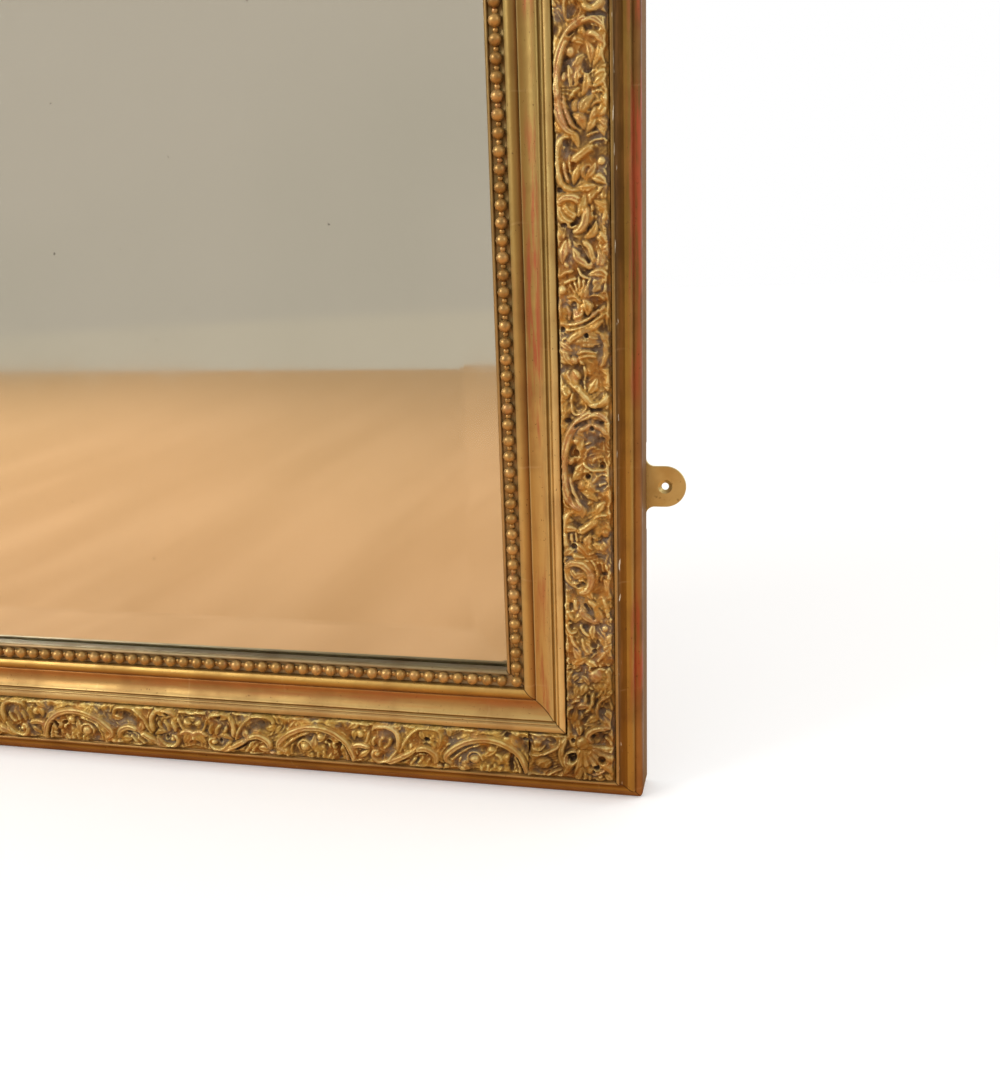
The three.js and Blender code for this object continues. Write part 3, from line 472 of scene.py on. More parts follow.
def inner_section():
    """Points [out, rise, wear] from the back of the lip round the front to the back again."""
    return [
        (REBATE_OUT, MOULDING_BACK), (REBATE_OUT, LIP_BACK), (SIGHT_OUT, LIP_BACK),
        (SIGHT_OUT, LIP_TOP - 2.2), *bend((SIGHT_OUT, LIP_TOP - 2), (CHANNEL_IN - 0.4, LIP_TOP), 0.6, 6),
        (CHANNEL_IN - 0.15, LIP_TOP - 0.2, 0.5), (CHANNEL_IN, CHANNEL_FLOOR + 0.2),
        (CHANNEL_IN + 0.3, CHANNEL_FLOOR), (CHANNEL_OUT - 0.3, CHANNEL_FLOOR),
        (CHANNEL_OUT, CHANNEL_FLOOR + 0.3), (CHANNEL_OUT + 0.3, ARRIS - 1),
        (CHANNEL_OUT + 0.6, ARRIS - 0.25, 0.6),
        *bend((CHANNEL_OUT + 1.1, ARRIS), (OVOLO_OUT - 0.45, OVOLO_FOOT), 1.7, 12),
        (OVOLO_OUT - 0.15, SCOOP_FOOT - 0.55), (OVOLO_OUT + 0.1, SCOOP_FOOT - 0.5),
        (OVOLO_OUT + 0.35, SCOOP_FOOT - 0.05, 0.3),
        *bend((OVOLO_OUT + 0.9, SCOOP_FOOT), (SCOOP_OUT - 0.3, SCOOP_TOP), -2, 16),
        (SCOOP_OUT, SCOOP_TOP + 0.05, 0.5), (SCOOP_OUT + 0.5, SCOOP_TOP - 0.3),
        (SCOOP_OUT + 0.9, SCOOP_TOP - 1), (SCOOP_OUT + 1.7, SCOOP_TOP - 1),
        *bend((SCOOP_OUT + 2.1, SCOOP_TOP - 0.2), (BEAD_OUT - 0.5, SCOOP_TOP), 0.75, 7),
        (BEAD_OUT - 0.25, SCOOP_TOP - 0.4), (BEAD_OUT, FILLET_TOP - 0.3),
        (BEAD_OUT + 0.3, FILLET_TOP, 0.4), (FILLET_OUT - 0.5, FILLET_TOP, 0.5),
        (FILLET_OUT, FILLET_TOP - 0.5, 0.6), (FILLET_OUT, MOULDING_BACK)]


def outer_section():
    """Points [out, rise, wear] from the ground's inner edge round to the back."""
    return [
        (GROUND_IN, MOULDING_BACK), (GROUND_IN, GROUND_TOP), (GROUND_OUT, GROUND_TOP),
        (GROUND_OUT + 0.2, FILLET_TOP - 0.4), (GROUND_OUT + 0.5, FILLET_TOP, 0.5),
        (OUTER_FILLET_OUT - 0.3, FILLET_TOP, 0.8), (OUTER_FILLET_OUT, FILLET_TOP - 0.4, 0.9),
        *bend((OUTER_FILLET_OUT + 0.2, FILLET_TOP - 1), (COVE_OUT - 0.1, COVE_FOOT), -1.5, 12),
        (COVE_OUT + 0.3, COVE_FOOT + 0.25, 0.3),
        *bend((COVE_OUT + 0.6, COVE_FOOT), (BACK_OVOLO_OUT - 0.1, BACK_OVOLO_FOOT), 1, 10),
        (BACK_OVOLO_OUT + 0.1, BACK_OVOLO_FOOT - 0.9), (BACK_OVOLO_OUT + 0.5, BACK_OVOLO_FOOT - 1),
        *bend((BACK_OVOLO_OUT + 0.9, BACK_OVOLO_FOOT - 0.7), (SIDE_OUT, EDGE_FOOT), 0.9, 8),
        (SIDE_OUT, MOULDING_BACK)]


def swept_side(name, side, section, material, corner_round=0.0):
    """A mitred length of moulding, a little uneven and worn at its edges."""
    half = side["half_run"]
    out = np.array([p[0] for p in section])
    rise = np.array([p[1] for p in section])
    wear = np.array([p[2] if len(p) > 2 else 0 for p in section])
    near_end = np.array([0.6, 1.2, 2, 3, 4.2, 6]) / (2 * half)
    share = np.linspace(0, 1, int(2 * half / 5))
    share = np.unique(np.concatenate([share, near_end, 1 - near_end]))
    ends = half + out - MITRE_CRACK / 2 * math.sqrt(2)
    along = (2 * share[:, None] - 1) * ends[None, :]
    outs = np.broadcast_to(out, along.shape).copy()
    seed = sum(map(ord, name))
    reach = 2 * ends.max() + 100
    slow = wander(reach, 70, seed)(along + ends.max())
    dent = wander(reach, 4, seed + 1)(along + ends.max() + 0.7 * (outs - out.min()))
    rises = rise + 0.1 * slow * (rise > LIP_BACK) - wear * np.clip(dent - 0.1, 0, 1) * 0.5
    from_mitre = ends - np.abs(along)
    if corner_round:
        inside = half + SIDE_OUT - corner_round
        past_along = np.maximum(np.abs(along) - inside, 0)
        past_out = np.maximum(outs - (SIDE_OUT - corner_round), 0)
        pull = corner_round / np.maximum(np.hypot(past_along, past_out), corner_round)
        along = np.where(pull < 1, np.sign(along) * (inside + past_along * pull), along)
        outs = np.where(pull < 1, SIDE_OUT - corner_round + past_out * pull, outs)
    rings, count = along.shape
    here = np.arange(rings * count).reshape(rings, count)
    there = np.roll(here, -1, axis=1)
    quads = np.stack([here[:-1], there[:-1], there[1:], here[1:]], -1).reshape(-1, 4)
    faces = quads.tolist() + [here[0, ::-1].tolist(), here[-1].tolist()]
    return new_piece(name, place(side, along, rises, outs), faces, material, {
        "across": outs, "along": along, "from_mitre": from_mitre})


def dress_mouldings():
    for name, side in SIDES.items():
        inner = swept_side(f"gilt_inner_moulding_{name}", side, inner_section(),
                           GILDED_INNER[side["stile"]])
        settle(inner, "gilding", f"inner_moulding_{name}")
        outer = swept_side(f"gilt_outer_moulding_{name}", side, outer_section(),
                           GILDED_OUTER[side["stile"]], CORNER_ROUND)
        settle(outer, "rubbed_gilding", f"outer_moulding_{name}")


# ---- Rows of pearls and nail heads, by geometry nodes ----

def row_tree():
    """A row of small round things: First and Step place them, Size and Seed shape them."""
    tree = bpy.data.node_groups.new("row_of_rounds", "GeometryNodeTree")
    sockets = {}
    for label, kind in (("First", "Vector"), ("Step", "Vector"), ("Count", "Int"), ("Size", "Vector"),
                        ("Spread", "Float"), ("Seed", "Int"), ("Finish", "Material")):
        sockets[label] = tree.interface.new_socket(label, in_out="INPUT",
                                                   socket_type=f"NodeSocket{kind}").identifier
    tree.interface.new_socket("Row", in_out="OUTPUT", socket_type="NodeSocketGeometry")
    g = Nodes(tree)
    given = lambda label: g.node("NodeGroupInput", output=label)
    line = g.node("GeometryNodeMeshLine", {
        "Count": given("Count"), "Start Location": given("First"), "Offset": given("Step")}, mode="OFFSET")
    ball = g.node("GeometryNodeMeshIcoSphere", {"Radius": 1.0, "Subdivisions": 2})
    tone = g.node("FunctionNodeRandomValue", {8: given("Seed")}, 1, data_type="FLOAT")
    wide = g.node("ShaderNodeMath", {0: tone, 1: given("Spread"), 2: 1.0}, operation="MULTIPLY_ADD")
    size = g.node("ShaderNodeVectorMath", {0: given("Size"), "Scale": wide}, operation="SCALE")
    placed = g.node("GeometryNodeInstanceOnPoints", {"Points": line, "Instance": ball, "Scale": size})
    marked = g.node("GeometryNodeStoreNamedAttribute", {
        "Geometry": placed, "Name": "tone", "Value": tone}, data_type="FLOAT", domain="INSTANCE")
    real = g.node("GeometryNodeRealizeInstances", {"Geometry": marked})
    smooth = g.node("GeometryNodeSetShadeSmooth", {"Geometry": real})
    done = g.node("GeometryNodeSetMaterial", {"Geometry": smooth, "Material": given("Finish")})
    tree.links.new(done, tree.nodes.new("NodeGroupOutput").inputs[0])
    return tree, sockets


ROW_TREE, ROW_SOCKETS = row_tree()


def lay_row(name, first, last, count, size, spread, seed, finish):
    """The plain mesh of a row from the place first to the place last."""
    mesh = bpy.data.meshes.new(name)
    piece = bpy.data.objects.new(name, mesh)
    bpy.context.scene.collection.objects.link(piece)
    modifier = piece.modifiers.new("row", "NODES")
    modifier.node_group = ROW_TREE
    step = (Vector(last) - Vector(first)) / max(count - 1, 1)
    wanted = {"First": Vector(first), "Step": step, "Count": count, "Size": Vector(size),
              "Spread": spread, "Seed": seed, "Finish": finish}
    for label, value in wanted.items():
        modifier[ROW_SOCKETS[label]] = value
    bpy.context.view_layer.update()
    graph = bpy.context.evaluated_depsgraph_get()
    piece.data = bpy.data.meshes.new_from_object(piece.evaluated_get(graph))
    piece.modifiers.clear()
    piece.data.name = name
    return piece


def join(name, parts):
    """Several plain meshes as one piece."""
    with bpy.context.temp_override(active_object=parts[0], selected_editable_objects=parts):
        bpy.ops.object.join()
    parts[0].name = name
    return parts[0]


def dress_pearls():
    """Strings of pressed pearls with necks between them; the stiles' strings hold the corners."""
    rise = CHANNEL_FLOOR + PEARL_PROUD - PEARL_RADIUS
    for number, (name, side) in enumerate(SIDES.items()):
        half = side["half_run"]
        pitch = 2 * half / round(2 * half / PEARL_PITCH)
        end = half if side["stile"] else half - pitch
        count = round(2 * end / pitch) + 1
        ball = [PEARL_RADIUS * MM] * 3
        neck = [2.0 * MM, 1.2 * MM, 2.0 * MM]
        pearls = lay_row("pearls", place(side, -end, rise, 0)[0], place(side, end, rise, 0)[0],
                         count, ball, 0.05, number, PEARL)
        low = rise - 1.2
        necks = lay_row("necks", place(side, pitch / 2 - end, low, 0)[0],
                        place(side, end - pitch / 2, low, 0)[0], count - 1, neck, 0.1, number, PEARL)
        settle(join(f"gilt_pearls_{name}", [pearls, necks]), "pearl_gilding", f"pearls_{name}")


# ---- Relief of the ornament ----

def smooth_line(points, gap=0.5):
    """A curve through the points, as places about a gap apart."""
    p = np.array([points[0], *points, points[-1]], float)
    places = []
    for a, b, c, d in zip(p, p[1:], p[2:], p[3:]):
        steps = max(2, int(np.hypot(*(c - b)) / gap))
        t = np.linspace(0, 1, steps, endpoint=False)[:, None]
        places.append(0.5 * (2 * b + (c - a) * t + (2 * a - 5 * b + 4 * c - d) * t ** 2
                             + (3 * b - a - 3 * c + d) * t ** 3))
    return np.concatenate([*places, p[-1:]])


class Relief:
    """Pressed ornament as a height over its back, on a grid; its calls model one form each."""

    def __init__(self, low, high, step, seed):
        self.step = step
        counts = [int(round((b - a) / step)) + 1 for a, b in zip(low, high)]
        self.axes = [np.linspace(a, b, n) for a, b, n in zip(low, high, counts)]
        self.a, self.b = np.meshgrid(*self.axes, indexing="ij")
        self.rng = np.random.default_rng(seed)
        self.height = 2.5 + self.lumps(4.5, 0.9)
        self.mass = np.zeros(self.a.shape)
        self.rub = np.zeros(self.a.shape)
        self.calm = np.zeros(self.a.shape)
        self.flow = self.lumps(11, 2.0)
        self.ditch = np.clip(0.5 + self.lumps(3, 0.5), 0, 1.3)
        self.shift = 0.0
        self.place_on = lambda points: points

    def lumps(self, size, height):
        """Noise over the grid, with lumps of about this size and height."""
        noise = blurred(self.rng.standard_normal(self.a.shape), size / self.step)
        return noise * height / noise.std()

    def crests(self, size, height):
        """Noise with sharp crests, like the edges of small pressed leaves."""
        return height * (1 - np.minimum(np.abs(self.lumps(size, 1)), 1)) ** 1.4

    def window(self, points, margin):
        """The part of the grid within a margin of the points."""
        cuts = []
        for axis, values in zip(self.axes, points.T):
            first = np.searchsorted(axis, values.min() - margin)
            last = np.searchsorted(axis, values.max() + margin)
            cuts.append(slice(first, max(last, first)))
        return tuple(cuts)

    def near(self, points, margin):
        """A window of the grid, with the distance to a curve and the share along it in the window."""
        line = self.place_on(smooth_line([(a + self.shift, b) for a, b in points]))
        cut = self.window(line, margin)
        a, b = self.a[cut], self.b[cut]
        if a.size == 0:
            return cut, a, a
        away = (a[..., None] - line[:, 0]) ** 2 + (b[..., None] - line[:, 1]) ** 2
        nearest = away.argmin(-1)
        distance = np.sqrt(np.take_along_axis(away, nearest[..., None], -1)[..., 0])
        return cut, distance, nearest / (len(line) - 1)

    def lay(self, cut, own, edge, top, rub, calm):
        """Adds a form: a soft foot and a broken ditch round it, then its own height."""
        height = self.height[cut]
        beyond = np.maximum(edge, 0)
        foot = 1.6 + 0.5 * (top - 1.6) * np.exp(-(beyond / 3.4) ** 2)
        height = np.maximum(height, foot)
        height = height - 0.3 * self.ditch[cut] * (height - 0.8) * np.exp(-(beyond / 0.7) ** 2)
        own = own + 0.5 * self.mass[cut]
        wins = own > height
        self.height[cut] = np.where(wins, own, height)
        self.rub[cut] = np.where(wins, rub, self.rub[cut])
        self.calm[cut] = np.where(wins, calm, self.calm[cut])

    def roll(self, points, width, height, groove=0.0, rub=0.0, ends=(0.5, 0.5), taper=4.0):
        """A rounded band along a curve, slimmer at its ends, with an optional groove."""
        width = 1.2 * width + 0.3
        cut, away, share = self.near(points, width / 2 + 5)
        swell = np.minimum(1, np.minimum(ends[0] + share * taper, ends[1] + (1 - share) * taper))
        half = width / 2 * swell
        calm = min(1, max(0, (width - 3.6) / 2))
        round_over = np.clip(1 - (away / half) ** 2, 0, 1) ** 0.6
        sharp = np.clip(1 - away / half, 0, 1) ** 0.8
        across = round_over * (0.45 + 0.55 * calm) + sharp * 0.55 * (1 - calm)
        own = 0.8 + (height - 0.8) * (0.6 + 0.4 * swell) * across
        own -= groove * calm * (0.16 * height + 0.5) * np.exp(-(away / (0.16 * half + 0.25)) ** 2)
        self.lay(cut, np.where(away < half, own, -9), away - half, height, rub, calm)

    def rolls(self, *bands):
        """Bands one after another, each [points, width, height, groove, rub]."""
        for band in bands:
            self.roll(*band)

    def around(self, centre, reach):
        """A window round a point, with the window's places along and across from that point."""
        a, b = centre[0] + self.shift, centre[1]
        spot, ahead, beside = self.place_on(np.array([[a, b], [a + 1, b], [a, b + 1]], float))
        cut = self.window(np.array([spot - reach, spot + reach]), 0)
        away = np.stack([self.a[cut] - spot[0], self.b[cut] - spot[1]], -1)
        return cut, away @ (ahead - spot), away @ (beside - spot)

    def oval(self, centre, radii, margin, angle=0.0):
        """A window round an oval, and how far out in it each place is: 1 on its rim."""
        cut, along, across = self.around(centre, max(radii) + margin)
        cos, sin = math.cos(math.radians(angle)), math.sin(math.radians(angle))
        return cut, np.hypot((along * cos + across * sin) / radii[0],
                             (across * cos - along * sin) / radii[1])

    def mound(self, centre, radii, height, rub=0.0, angle=0.0):
        """An oval boss."""
        radii = [1.15 * r + 0.2 for r in radii]
        cut, far = self.oval(centre, radii, 4, angle)
        own = 0.8 + (height - 0.8) * np.clip(1 - far ** 2, 0, 1) ** 0.45
        self.lay(cut, np.where(far < 1, own, -9), (far - 1) * min(radii), height, rub, 0.6)

    def sink(self, points, width, floor=0.5):
        """A pierced or deep-cut place along a curve."""
        cut, away, _ = self.near(points, width)
        depth = np.clip(1.35 - away / (width / 2), 0, 1)
        self.height[cut] = self.height[cut] * (1 - depth) + floor * depth

    def swell(self, centre, radii, height):
        """A broad soft mass, laid before the forms on it."""
        cut, along, across = self.around(centre, 2 * max(radii))
        far = np.hypot(along / radii[0], across / radii[1])
        mass = (height - 1.6) * np.exp(-far ** 2)
        self.mass[cut] = np.maximum(self.mass[cut], mass)
        self.height[cut] = np.maximum(self.height[cut], 1.6 + mass)

    def basin(self, centre, radii, floor=1.3, angle=0.0):
        """A smooth oval hollow."""
        cut, far = self.oval(centre, radii, 1, angle)
        depth = np.clip((1 - far) * 3, 0, 1)
        self.height[cut] = self.height[cut] * (1 - depth) + (floor + 0.8 * far ** 2) * depth

    def texture(self, centre, radii, pattern, depth):
        """A pattern worked into an oval field, from the places along and across it."""
        cut, along, across = self.around(centre, max(radii))
        far = np.hypot(along / radii[0], across / radii[1])
        self.height[cut] += depth * pattern(along, across) * np.clip((1 - far) * 4, 0, 1)

    def fan(self, centre, heading, turn, radius, height, lobes, rub=0.0):
        """Lobes that spread from a point, about a heading in degrees."""
        for i in range(lobes):
            angle = math.radians(heading - turn / 2 + turn * (i + 0.5) / lobes)
            tip = (centre[0] + radius * math.cos(angle), centre[1] + radius * math.sin(angle))
            start = (centre[0] + 0.15 * (tip[0] - centre[0]), centre[1] + 0.15 * (tip[1] - centre[1]))
            width = 2 * radius * math.sin(math.radians(turn / lobes / 2)) * 0.62
            self.roll([start, ((start[0] + tip[0]) / 2, (start[1] + tip[1]) / 2), tip],
                      width, height, 0.3, rub, (0.2, 0.7), 1.6)


def blurred(grid, cells):
    """The grid, smoothed over a few cells both ways."""
    reach = max(1, int(3 * cells))
    kernel = np.exp(-(np.arange(-reach, reach + 1) / cells) ** 2 / 2)
    kernel /= kernel.sum()
    for axis in (0, 1):
        pad = [(reach, reach) if k == axis else (0, 0) for k in (0, 1)]
        padded = np.pad(grid, pad, mode="edge")
        grid = sum(k * np.take(padded, np.arange(i, i + grid.shape[axis]), axis)
                   for i, k in enumerate(kernel))
    return grid


def leaflets(relief, low, high, count, size):
    """Curling leaves and a few pierced holes where the ground between the forms is still low."""
    rng = relief.rng
    for number in range(count):
        at = rng.uniform(low, high)
        curl, length, width = (rng.uniform(-1.6, 1.6), size * rng.uniform(2.0, 3.2),
                               size * rng.uniform(0.9, 1.3))
        height, rub = rng.uniform(3.4, 4.6) + 0.15 * size, rng.uniform(-0.8, 0.6)
        spot = relief.place_on(np.array([at]))[0]
        i, j = (int(np.clip((v - axis[0]) / relief.step, 0, len(axis) - 1))
                for v, axis in zip(spot, relief.axes))
        if relief.height[i, j] - 0.5 * relief.mass[i, j] > 3.4:
            continue
        if number % 5 == 0:
            relief.basin(at, rng.uniform(1.4, 2.8, 2), 0.3)
            continue
        heading = relief.flow[i, j] + rng.uniform(-0.5, 0.5)
        points = [at]
        for part in (0.5, 1):
            turned = heading + curl * part
            points.append(points[-1] + length / 2 * np.array([math.cos(turned), math.sin(turned)]))
        relief.roll(points, width, height, 0.7, rub, (0.15, 0.05), 2.0)


def between_corner_and_stile(r):
    """Buds and the diagonal leaf over the joint of the corner piece and the stile's run."""
    r.mound((6.5, 12.5), (3.5, 3), 4.6, 0.8)
    r.mound((11, 21.5), (5.5, 5), 6.4, 0.9, 20)
    r.rolls(
        ([(14, 17), (18, 20), (22, 24), (27, 28), (32, 32)], 3.2, 4.8, 0.5, 0.3),
        ([(19, 16), (23, 19), (28, 22), (33, 24)], 2.6, 4.2, 0.3, -0.5),
        ([(16, 7), (19, 5.5), (22.5, 7), (25, 9)], 2.4, 4.0, 0.2, 0.3),
        ([(1, 4), (5, 2.5), (10, 3.5), (14, 6)], 3, 4.4, 0.5, -0.6),
        ([(1, 28), (5, 30), (10, 31), (15, 29)], 3.4, 4.6, 0.5, 0.4),
        ([(0, 20), (2, 16), (2, 11)], 2.6, 4, 0.4, 0))
    r.sink([(16, 20), (18, 25), (17, 29)], 2.4, 0.9)


def stile_filler(r):
    """Leaves between the corner piece and the stile's first repeat."""
    r.swell((36, 14), (14, 13), 4.2)
    r.rolls(
        ([(27, 12), (31, 9), (36, 6), (42, 5)], 3, 4.6, 0.4, 0.5),
        ([(28, 17), (32, 14), (38, 13)], 2.6, 4.2, 0.4, -0.4),
        ([(30, 28), (35, 30), (41, 29), (45, 26)], 3, 4.6, 0.4, 0.4),
        ([(26, 3), (31, 2), (36, 2.5)], 2.4, 3.8, 0.4, 0),
        ([(43, 9), (42, 5.5), (45, 3), (49, 4), (49.5, 8)], 2.6, 4.8, 0.4, 0.4),
        ([(40, 18), (43, 14), (48, 12)], 3, 4.6, 0.4, 0.3),
        ([(34, 33), (41, 33), (48, 31)], 2.2, 3.6, 0.4, -0.6))
    r.mound((46, 29), (2.4, 2.2), 4.6, 0.5)
    r.sink([(33.5, 21), (37, 21.5), (41, 21)], 4.4, 0.5)
    r.sink([(45, 5.6), (47, 6)], 2, 0.8)


def stile_volute(r):
    """The hooked volute with its leaf, and the flat arc of leaves after it."""
    r.swell((60, 14), (13, 13), 4.4)
    r.swell((83, 14), (13, 14), 4.6)
    r.swell((113, 16), (17, 14), 4.0)
    r.rolls(
        ([(50, 24), (53, 18), (56, 14), (60, 13)], 5, 5.4, 0.6, 0.8),
        ([(50, 27), (56, 24), (62, 22), (66, 18)], 4, 4.8, 0.4, 0.2),
        ([(50, 8), (54, 5), (58, 3)], 3.4, 4.4, 0.5, -0.5),
        ([(59, 10), (62, 9), (67, 8.5)], 3.4, 5.2, 0.4, 0.6),
        ([(54, 31), (61, 30), (68, 28)], 3.4, 4.4, 0.5, 0),
        ([(76, 14), (78, 8), (82, 4), (88, 2)], 5.5, 4.8, 0.8, -0.5),
        ([(81, 14), (84, 9), (88, 6)], 4.4, 5.0, 0.7, -0.2),
        ([(74, 20), (80, 23.5), (88, 23.5), (95, 20)], 2.6, 5.0, 0, 0.1),
        ([(90, 2), (93, 7), (92.5, 13), (88.5, 18), (83, 20), (77, 19), (73, 16), (72, 12.5)],
         5, 7.2, 0.7, 0.7),
        ([(80, 26), (86, 28), (94, 27)], 2.2, 3.8, 0.3, -0.4),
        ([(70, 31), (78, 31), (86, 32)], 2.6, 3.8, 0.3, 0.2),
        ([(88, 31), (94, 30), (100, 32)], 2.2, 3.6, 0.3, 0),
        ([(97, 15), (98, 9), (101, 5), (106, 3), (112, 2), (120, 2), (127, 4.5), (129, 9)],
         4.4, 5.6, 0, -0.4),
        ([(103, 13), (108, 10.5), (114, 10), (119, 10.5)], 2, 4.6, 0, 0.6),
        ([(102, 9), (108, 7), (114, 6.5)], 2.8, 4.8, 0, 0.9),
        ([(103, 20.5), (106, 18.5), (110, 19), (112, 22), (110, 24.5)], 2.2, 4.8, 0, 0.5),
        ([(115, 12), (118, 17), (123, 24)], 5, 5.8, 0.5, 0.3),
        ([(124, 22), (126.5, 26), (127, 31)], 2.4, 4.4, 0.3, 0),
        ([(129, 21), (131, 26), (131, 30)], 2.4, 4.4, 0.3, 0.2))
    r.mound((105, 28), (3.4, 3), 5.4)
    r.mound((114, 30), (2.6, 2.2), 4.4, 0.3)
    r.sink([(76.5, 11), (78, 14)], 2.6, 0.8)
    r.sink([(60, 5.5), (63, 5.5)], 2.6, 0.5)
    r.sink([(53, 21.5), (58, 18.5), (63, 15.5)], 1.8, 0.9)


def stile_c_scroll(r):
    """The broad C-scroll, a double roll round leaves and curls."""
    r.swell((152, 20), (24, 12), 3.8)
    r.rolls(
        ([(134, 18), (137, 22), (139, 27)], 2.6, 4.2, 0.4, 0.2),
        ([(141, 18), (143, 22), (144, 26)], 2.6, 4.2, 0.4, -0.4),
        ([(145, 23), (148, 27), (149, 31)], 2.6, 4.0, 0.3, 0.5),
        ([(153, 24), (155, 28), (154, 32)], 2.4, 4.0, 0.3, 0),
        ([(134, 30), (140, 31), (145, 33)], 2.2, 3.6, 0.3, -0.4),
        ([(151, 11), (154, 13), (157, 16.5), (157.5, 20.5)], 2.6, 5.2, 0.2, -0.9),
        ([(158, 29), (158, 22), (160, 17.5), (163, 16)], 2.8, 5.2, 0.2, -0.9),
        ([(168, 13), (172, 14), (175, 17), (177, 21)], 2, 4.4, 0, 0.3),
        ([(166, 17), (170, 18), (173, 21), (174, 25)], 2, 4.2, 0, 0.2),
        ([(163, 22), (166, 24), (167, 29)], 2.4, 4, 0.3, 0.4),
        ([(132, 14.5), (138, 10.5), (146, 7.5), (153, 6.5)], 3.6, 6.0, 0, 0.9),
        ([(131, 13), (133, 9), (138, 5.5), (145, 3.2), (152, 2.4), (162, 2.2), (172, 3.6),
          (180, 6), (187, 9.8), (192, 14.5), (195, 19), (196.3, 23), (195.3, 27), (192, 31.5)],
         5.4, 7.8, 1.0, 0.9),
        ([(184, 13), (187, 18), (188, 23), (186, 28), (182, 31.5)], 4, 6.2, 0.4, 0.8))
    r.mound((146.5, 14.5), (4, 2.8), 4.4)
    r.mound((164, 7.6), (3.2, 2), 5.0, 0.8, 25)
    r.mound((178, 11.5), (3.2, 2.8), 5.4, 0.8)
    r.basin((171, 9), (5, 2.6), 1.0, 15)
    r.basin((176, 27), (4.5, 4.6), 1.1)
    r.sink([(187.5, 11), (190.4, 16), (191.4, 22), (190, 29)], 1.8, 0.8)


def stile_s_scroll(r):
    """The S-scroll with its looped bud and the veined leaf after it."""
    r.swell((206, 10), (10, 9), 3.8)
    r.swell((239, 15), (14, 13), 5.4)
    r.rolls(
        ([(228, 17), (232, 14), (234, 20), (233, 25)], 3, 4.6, 0.5, 0.2),
        ([(235, 13), (237, 18), (236, 24)], 3, 4.8, 0.5, -0.3),
        ([(240, 16), (241, 21), (240, 28)], 3, 4.8, 0.5, 0.3),
        ([(243, 17), (245, 22), (245, 27)], 2.6, 4.6, 0.4, -0.3),
        ([(247, 19), (249, 24), (249, 28)], 2.6, 4.6, 0.4, 0),
        ([(226, 28), (232, 31), (240, 31), (248, 29)], 3.4, 4.8, 0.4, 0.3),
        ([(228, 10), (234, 5.5), (240, 5), (245, 9.5), (249, 16), (252, 23), (256, 29)],
         4.6, 6.4, 0.6, 0.3),
        ([(230, 3), (236, 1.8), (243, 3), (247, 7)], 2.2, 4.4, 0, -0.4),
        ([(207, 32), (203, 29), (201.3, 25), (203, 21), (207, 18), (211, 15), (214, 12),
          (216, 8)], 4.6, 7.2, 0.3, -0.7),
        ([(208, 6), (211, 3.5), (215, 5)], 3.4, 6.2, 0, -0.9),
        ([(209, 9.5), (205, 8.5), (200, 8.8), (196.6, 9.5), (195.2, 12), (196.8, 16),
          (200.5, 18.4), (205, 16.5)], 2.2, 5.8, 0, 0.4),
        ([(210, 18.5), (216, 17), (222, 18), (227, 17)], 2.2, 4.6, 0, 0),
        ([(209, 33), (216, 33.4), (223, 32)], 2.2, 4.2, 0, 0.3),
        ([(217, 13), (220, 8.5), (224, 7.5)], 4.8, 6.0, 0.4, 0.8))
    r.mound((231, 11), (2.6, 2.2), 6.0, 0.9)
    r.mound((221, 11.5), (4, 3), 5.8, 0.8, -30)
    r.basin((215, 25.5), (7.5, 6), 0.9)
    r.basin((201, 13), (2.8, 2.6), 1.0)
    r.sink([(226, 7), (227, 12)], 2.6, 0.7)
    r.sink([(198, 22), (198.5, 28), (198, 33)], 2.2, 0.7)


def stile_shell(r):
    """The pierced shell leaf that ends a repeat."""
    r.swell((271, 16), (17, 15), 5.4)
    r.fan((267, 17), -8, 62, 17.5, 5.2, 5, -0.3)
    r.rolls(
        ([(258, 3), (264, 2), (270, 3)], 2.8, 4.6, 0.3, 0.2),
        ([(257, 8), (262, 8.5), (266, 6.6)], 2.2, 5.0, 0, 0.8),
        ([(258, 11), (261, 16.5), (268, 17)], 2.4, 5.2, 0, 0.8),
        ([(271, 7), (272, 12), (268, 16)], 2.2, 5.0, 0, 0.5),
        ([(265, 18), (262, 22), (262.5, 28), (266, 31)], 2.6, 5.4, 0, 0.9),
        ([(268, 19), (272, 22), (272, 28), (269, 31)], 2.2, 5.0, 0, 0.3),
        ([(283, 21), (285, 16.5), (289.5, 14)], 2.4, 5.0, 0, 0.8),
        ([(274, 31), (281, 31), (288, 28)], 3, 4.6, 0.4, 0),
        ([(284, 2.5), (287, 6), (288, 11)], 3.2, 5.4, 0.5, 0.3),
        ([(280, 5), (282, 9), (283, 13)], 3, 5.2, 0.5, -0.4),
        ([(254.5, 2), (254, 9), (255.5, 16), (258.5, 22), (263, 27)], 2.8, 5.6, 0.2, 0.9),
        ([(250.5, 3), (251, 12), (253.5, 20), (257, 26), (261, 32)], 2.4, 5.6, 0, 0.3))
    r.mound((276, 4), (3, 2.6), 6.0, 0.4)
    r.mound((280, 26), (2.6, 2.5), 5.4, 0.2)
    r.basin((266.5, 11.5), (2.8, 2.2), 0.4)
    r.basin((260, 20), (1.6, 2.4), 0.4)
    r.basin((267, 25), (3.4, 4.4), 0.3)


